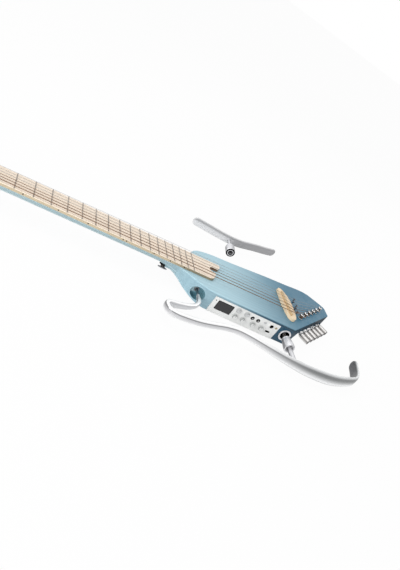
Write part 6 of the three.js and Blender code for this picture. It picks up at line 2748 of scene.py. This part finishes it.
@dataclass(frozen=True)
class Studio:
    """Floor, lamps and camera round the instrument.

    Attributes:
        eye: the camera's place.
        right: the direction to the right of its view.
        down: the direction down its view.
        ahead: the direction that it looks in.
        lens: its focal length in millimetres.
        floor_drop: how far the floor lies under the lowest point.
        sky: the surroundings' strength.
        aim: what the lamps point at.
    """

    eye: tuple[float, float, float] = (-0.58006, -0.76250, 0.45609)
    right: tuple[float, float, float] = (0.82940286, -0.13141668, 0.54297381)
    down: tuple[float, float, float] = (0.36289344, -0.61221005, -0.70250068)
    ahead: tuple[float, float, float] = (0.42473433, 0.77969771, -0.46007851)
    lens: float = 34.973
    floor_drop: float = 1 * MM
    sky: float = 0.6
    aim: tuple[float, float, float] = (-0.1, -0.03, 0.02)

    def build(self) -> None:
        """Sets the camera first, then the floor, the surroundings and the lamps."""
        self._camera()
        self._floor()
        self._world()
        self._lamp("key_lamp", (-0.5, 0.35, 1.7), 1.1, 7)
        self._lamp("fill_lamp", (-1.8, -1.3, 0.6), 1.4, 29)
        self._lamp("rim_lamp", (1.2, 0.9, 0.9), 0.9, 2)

    def _camera(self) -> None:
        """Stands the camera where the view was taken from."""
        data = bpy.data.cameras.new("view_camera")
        data.lens = self.lens
        data.sensor_width = 36
        camera = bpy.data.objects.new("view_camera", data)
        bpy.context.scene.collection.objects.link(camera)
        turn = Matrix((self.right, [-v for v in self.down], [-v for v in self.ahead])).transposed()
        camera.matrix_world = Matrix.Translation(self.eye) @ turn.to_4x4()
        bpy.context.scene.camera = camera

    def _floor(self) -> None:
        """Lays a white floor that only shows shadow."""
        bm = bmesh.new()
        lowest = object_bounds()[0][2] - self.floor_drop
        bmesh.ops.create_grid(bm, x_segments=2, y_segments=2, size=40, matrix=at(0, 0, lowest))
        data = bpy.data.meshes.new("studio_floor")
        bm.to_mesh(data)
        bm.free()
        material = bpy.data.materials.new("floor_white")
        material.use_nodes = True
        material.node_tree.nodes.clear()
        nodes = Nodes(material.node_tree)
        plain = nodes.add("ShaderNodeBsdfDiffuse")
        plain.inputs["Color"].default_value = (0.88, 0.88, 0.88, 1)
        white = nodes.add("ShaderNodeEmission")
        white.inputs["Color"].default_value = (1, 1, 1, 1)
        mix = nodes.add("ShaderNodeMixShader")
        output = nodes.add("ShaderNodeOutputMaterial")
        for target, source in (
            (mix.inputs[0], nodes.times(nodes.seen(), 0.95)),
            (mix.inputs[1], plain.outputs[0]),
            (mix.inputs[2], white.outputs[0]),
            (output.inputs["Surface"], mix.outputs[0]),
        ):
            nodes.link(source, target)
        data.materials.append(material)
        floor = bpy.data.objects.new("studio_floor", data)
        bpy.context.scene.collection.objects.link(floor)
        floor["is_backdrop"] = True

    def _world(self) -> None:
        """Surrounds the scene with even white light."""
        world = bpy.data.worlds.new("studio_surround")
        world.use_nodes = True
        world.node_tree.nodes.clear()
        nodes = Nodes(world.node_tree)
        shine = nodes.add("ShaderNodeBackground")
        shine.inputs["Color"].default_value = (1, 1, 1, 1)
        nodes.link(nodes.math("MAXIMUM", nodes.seen(), self.sky), shine.inputs["Strength"])
        output = nodes.add("ShaderNodeOutputWorld")
        nodes.link(shine.outputs[0], output.inputs["Surface"])
        bpy.context.scene.world = world

    def _lamp(self, name: str, place: tuple[float, float, float], size: float, power: float) -> None:
        """Hangs a square soft lamp that points at the aim.

        Args:
            name: the lamp's name.
            place: where it hangs.
            size: its width in metres.
            power: its power in watts.
        """
        data = bpy.data.lights.new(name, "AREA")
        data.size = size
        data.energy = power
        lamp = bpy.data.objects.new(name, data)
        bpy.context.scene.collection.objects.link(lamp)
        turn = (Vector(self.aim) - Vector(place)).to_track_quat("-Z", "Y").to_matrix().to_4x4()
        lamp.matrix_world = Matrix.Translation(place) @ turn


def write_sizes() -> None:
    """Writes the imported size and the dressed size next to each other.
    """

    def plain(box: object) -> list[list[float]]:
        """Turns two corners into plain lists."""
        return [[float(v) for v in corner] for corner in box]


def main() -> None:
    """Builds the instrument's looks group by group, then the studio."""
    logging.basicConfig(level=logging.INFO, format="%(message)s")
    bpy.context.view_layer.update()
    bpy.context.scene.view_settings.view_transform = "Standard"
    groups = (Corpus(), Fingerboard(), StringSet(), Tuners(), ControlPanel(), SOCKETS, BoutFrame(), LegRest())
    for group in groups:
        pieces = group.build()
        log.info("%s: %d pieces", type(group).__name__, len(pieces))
    Studio().build()
    write_sizes()


if __name__ == "__main__":
    main()
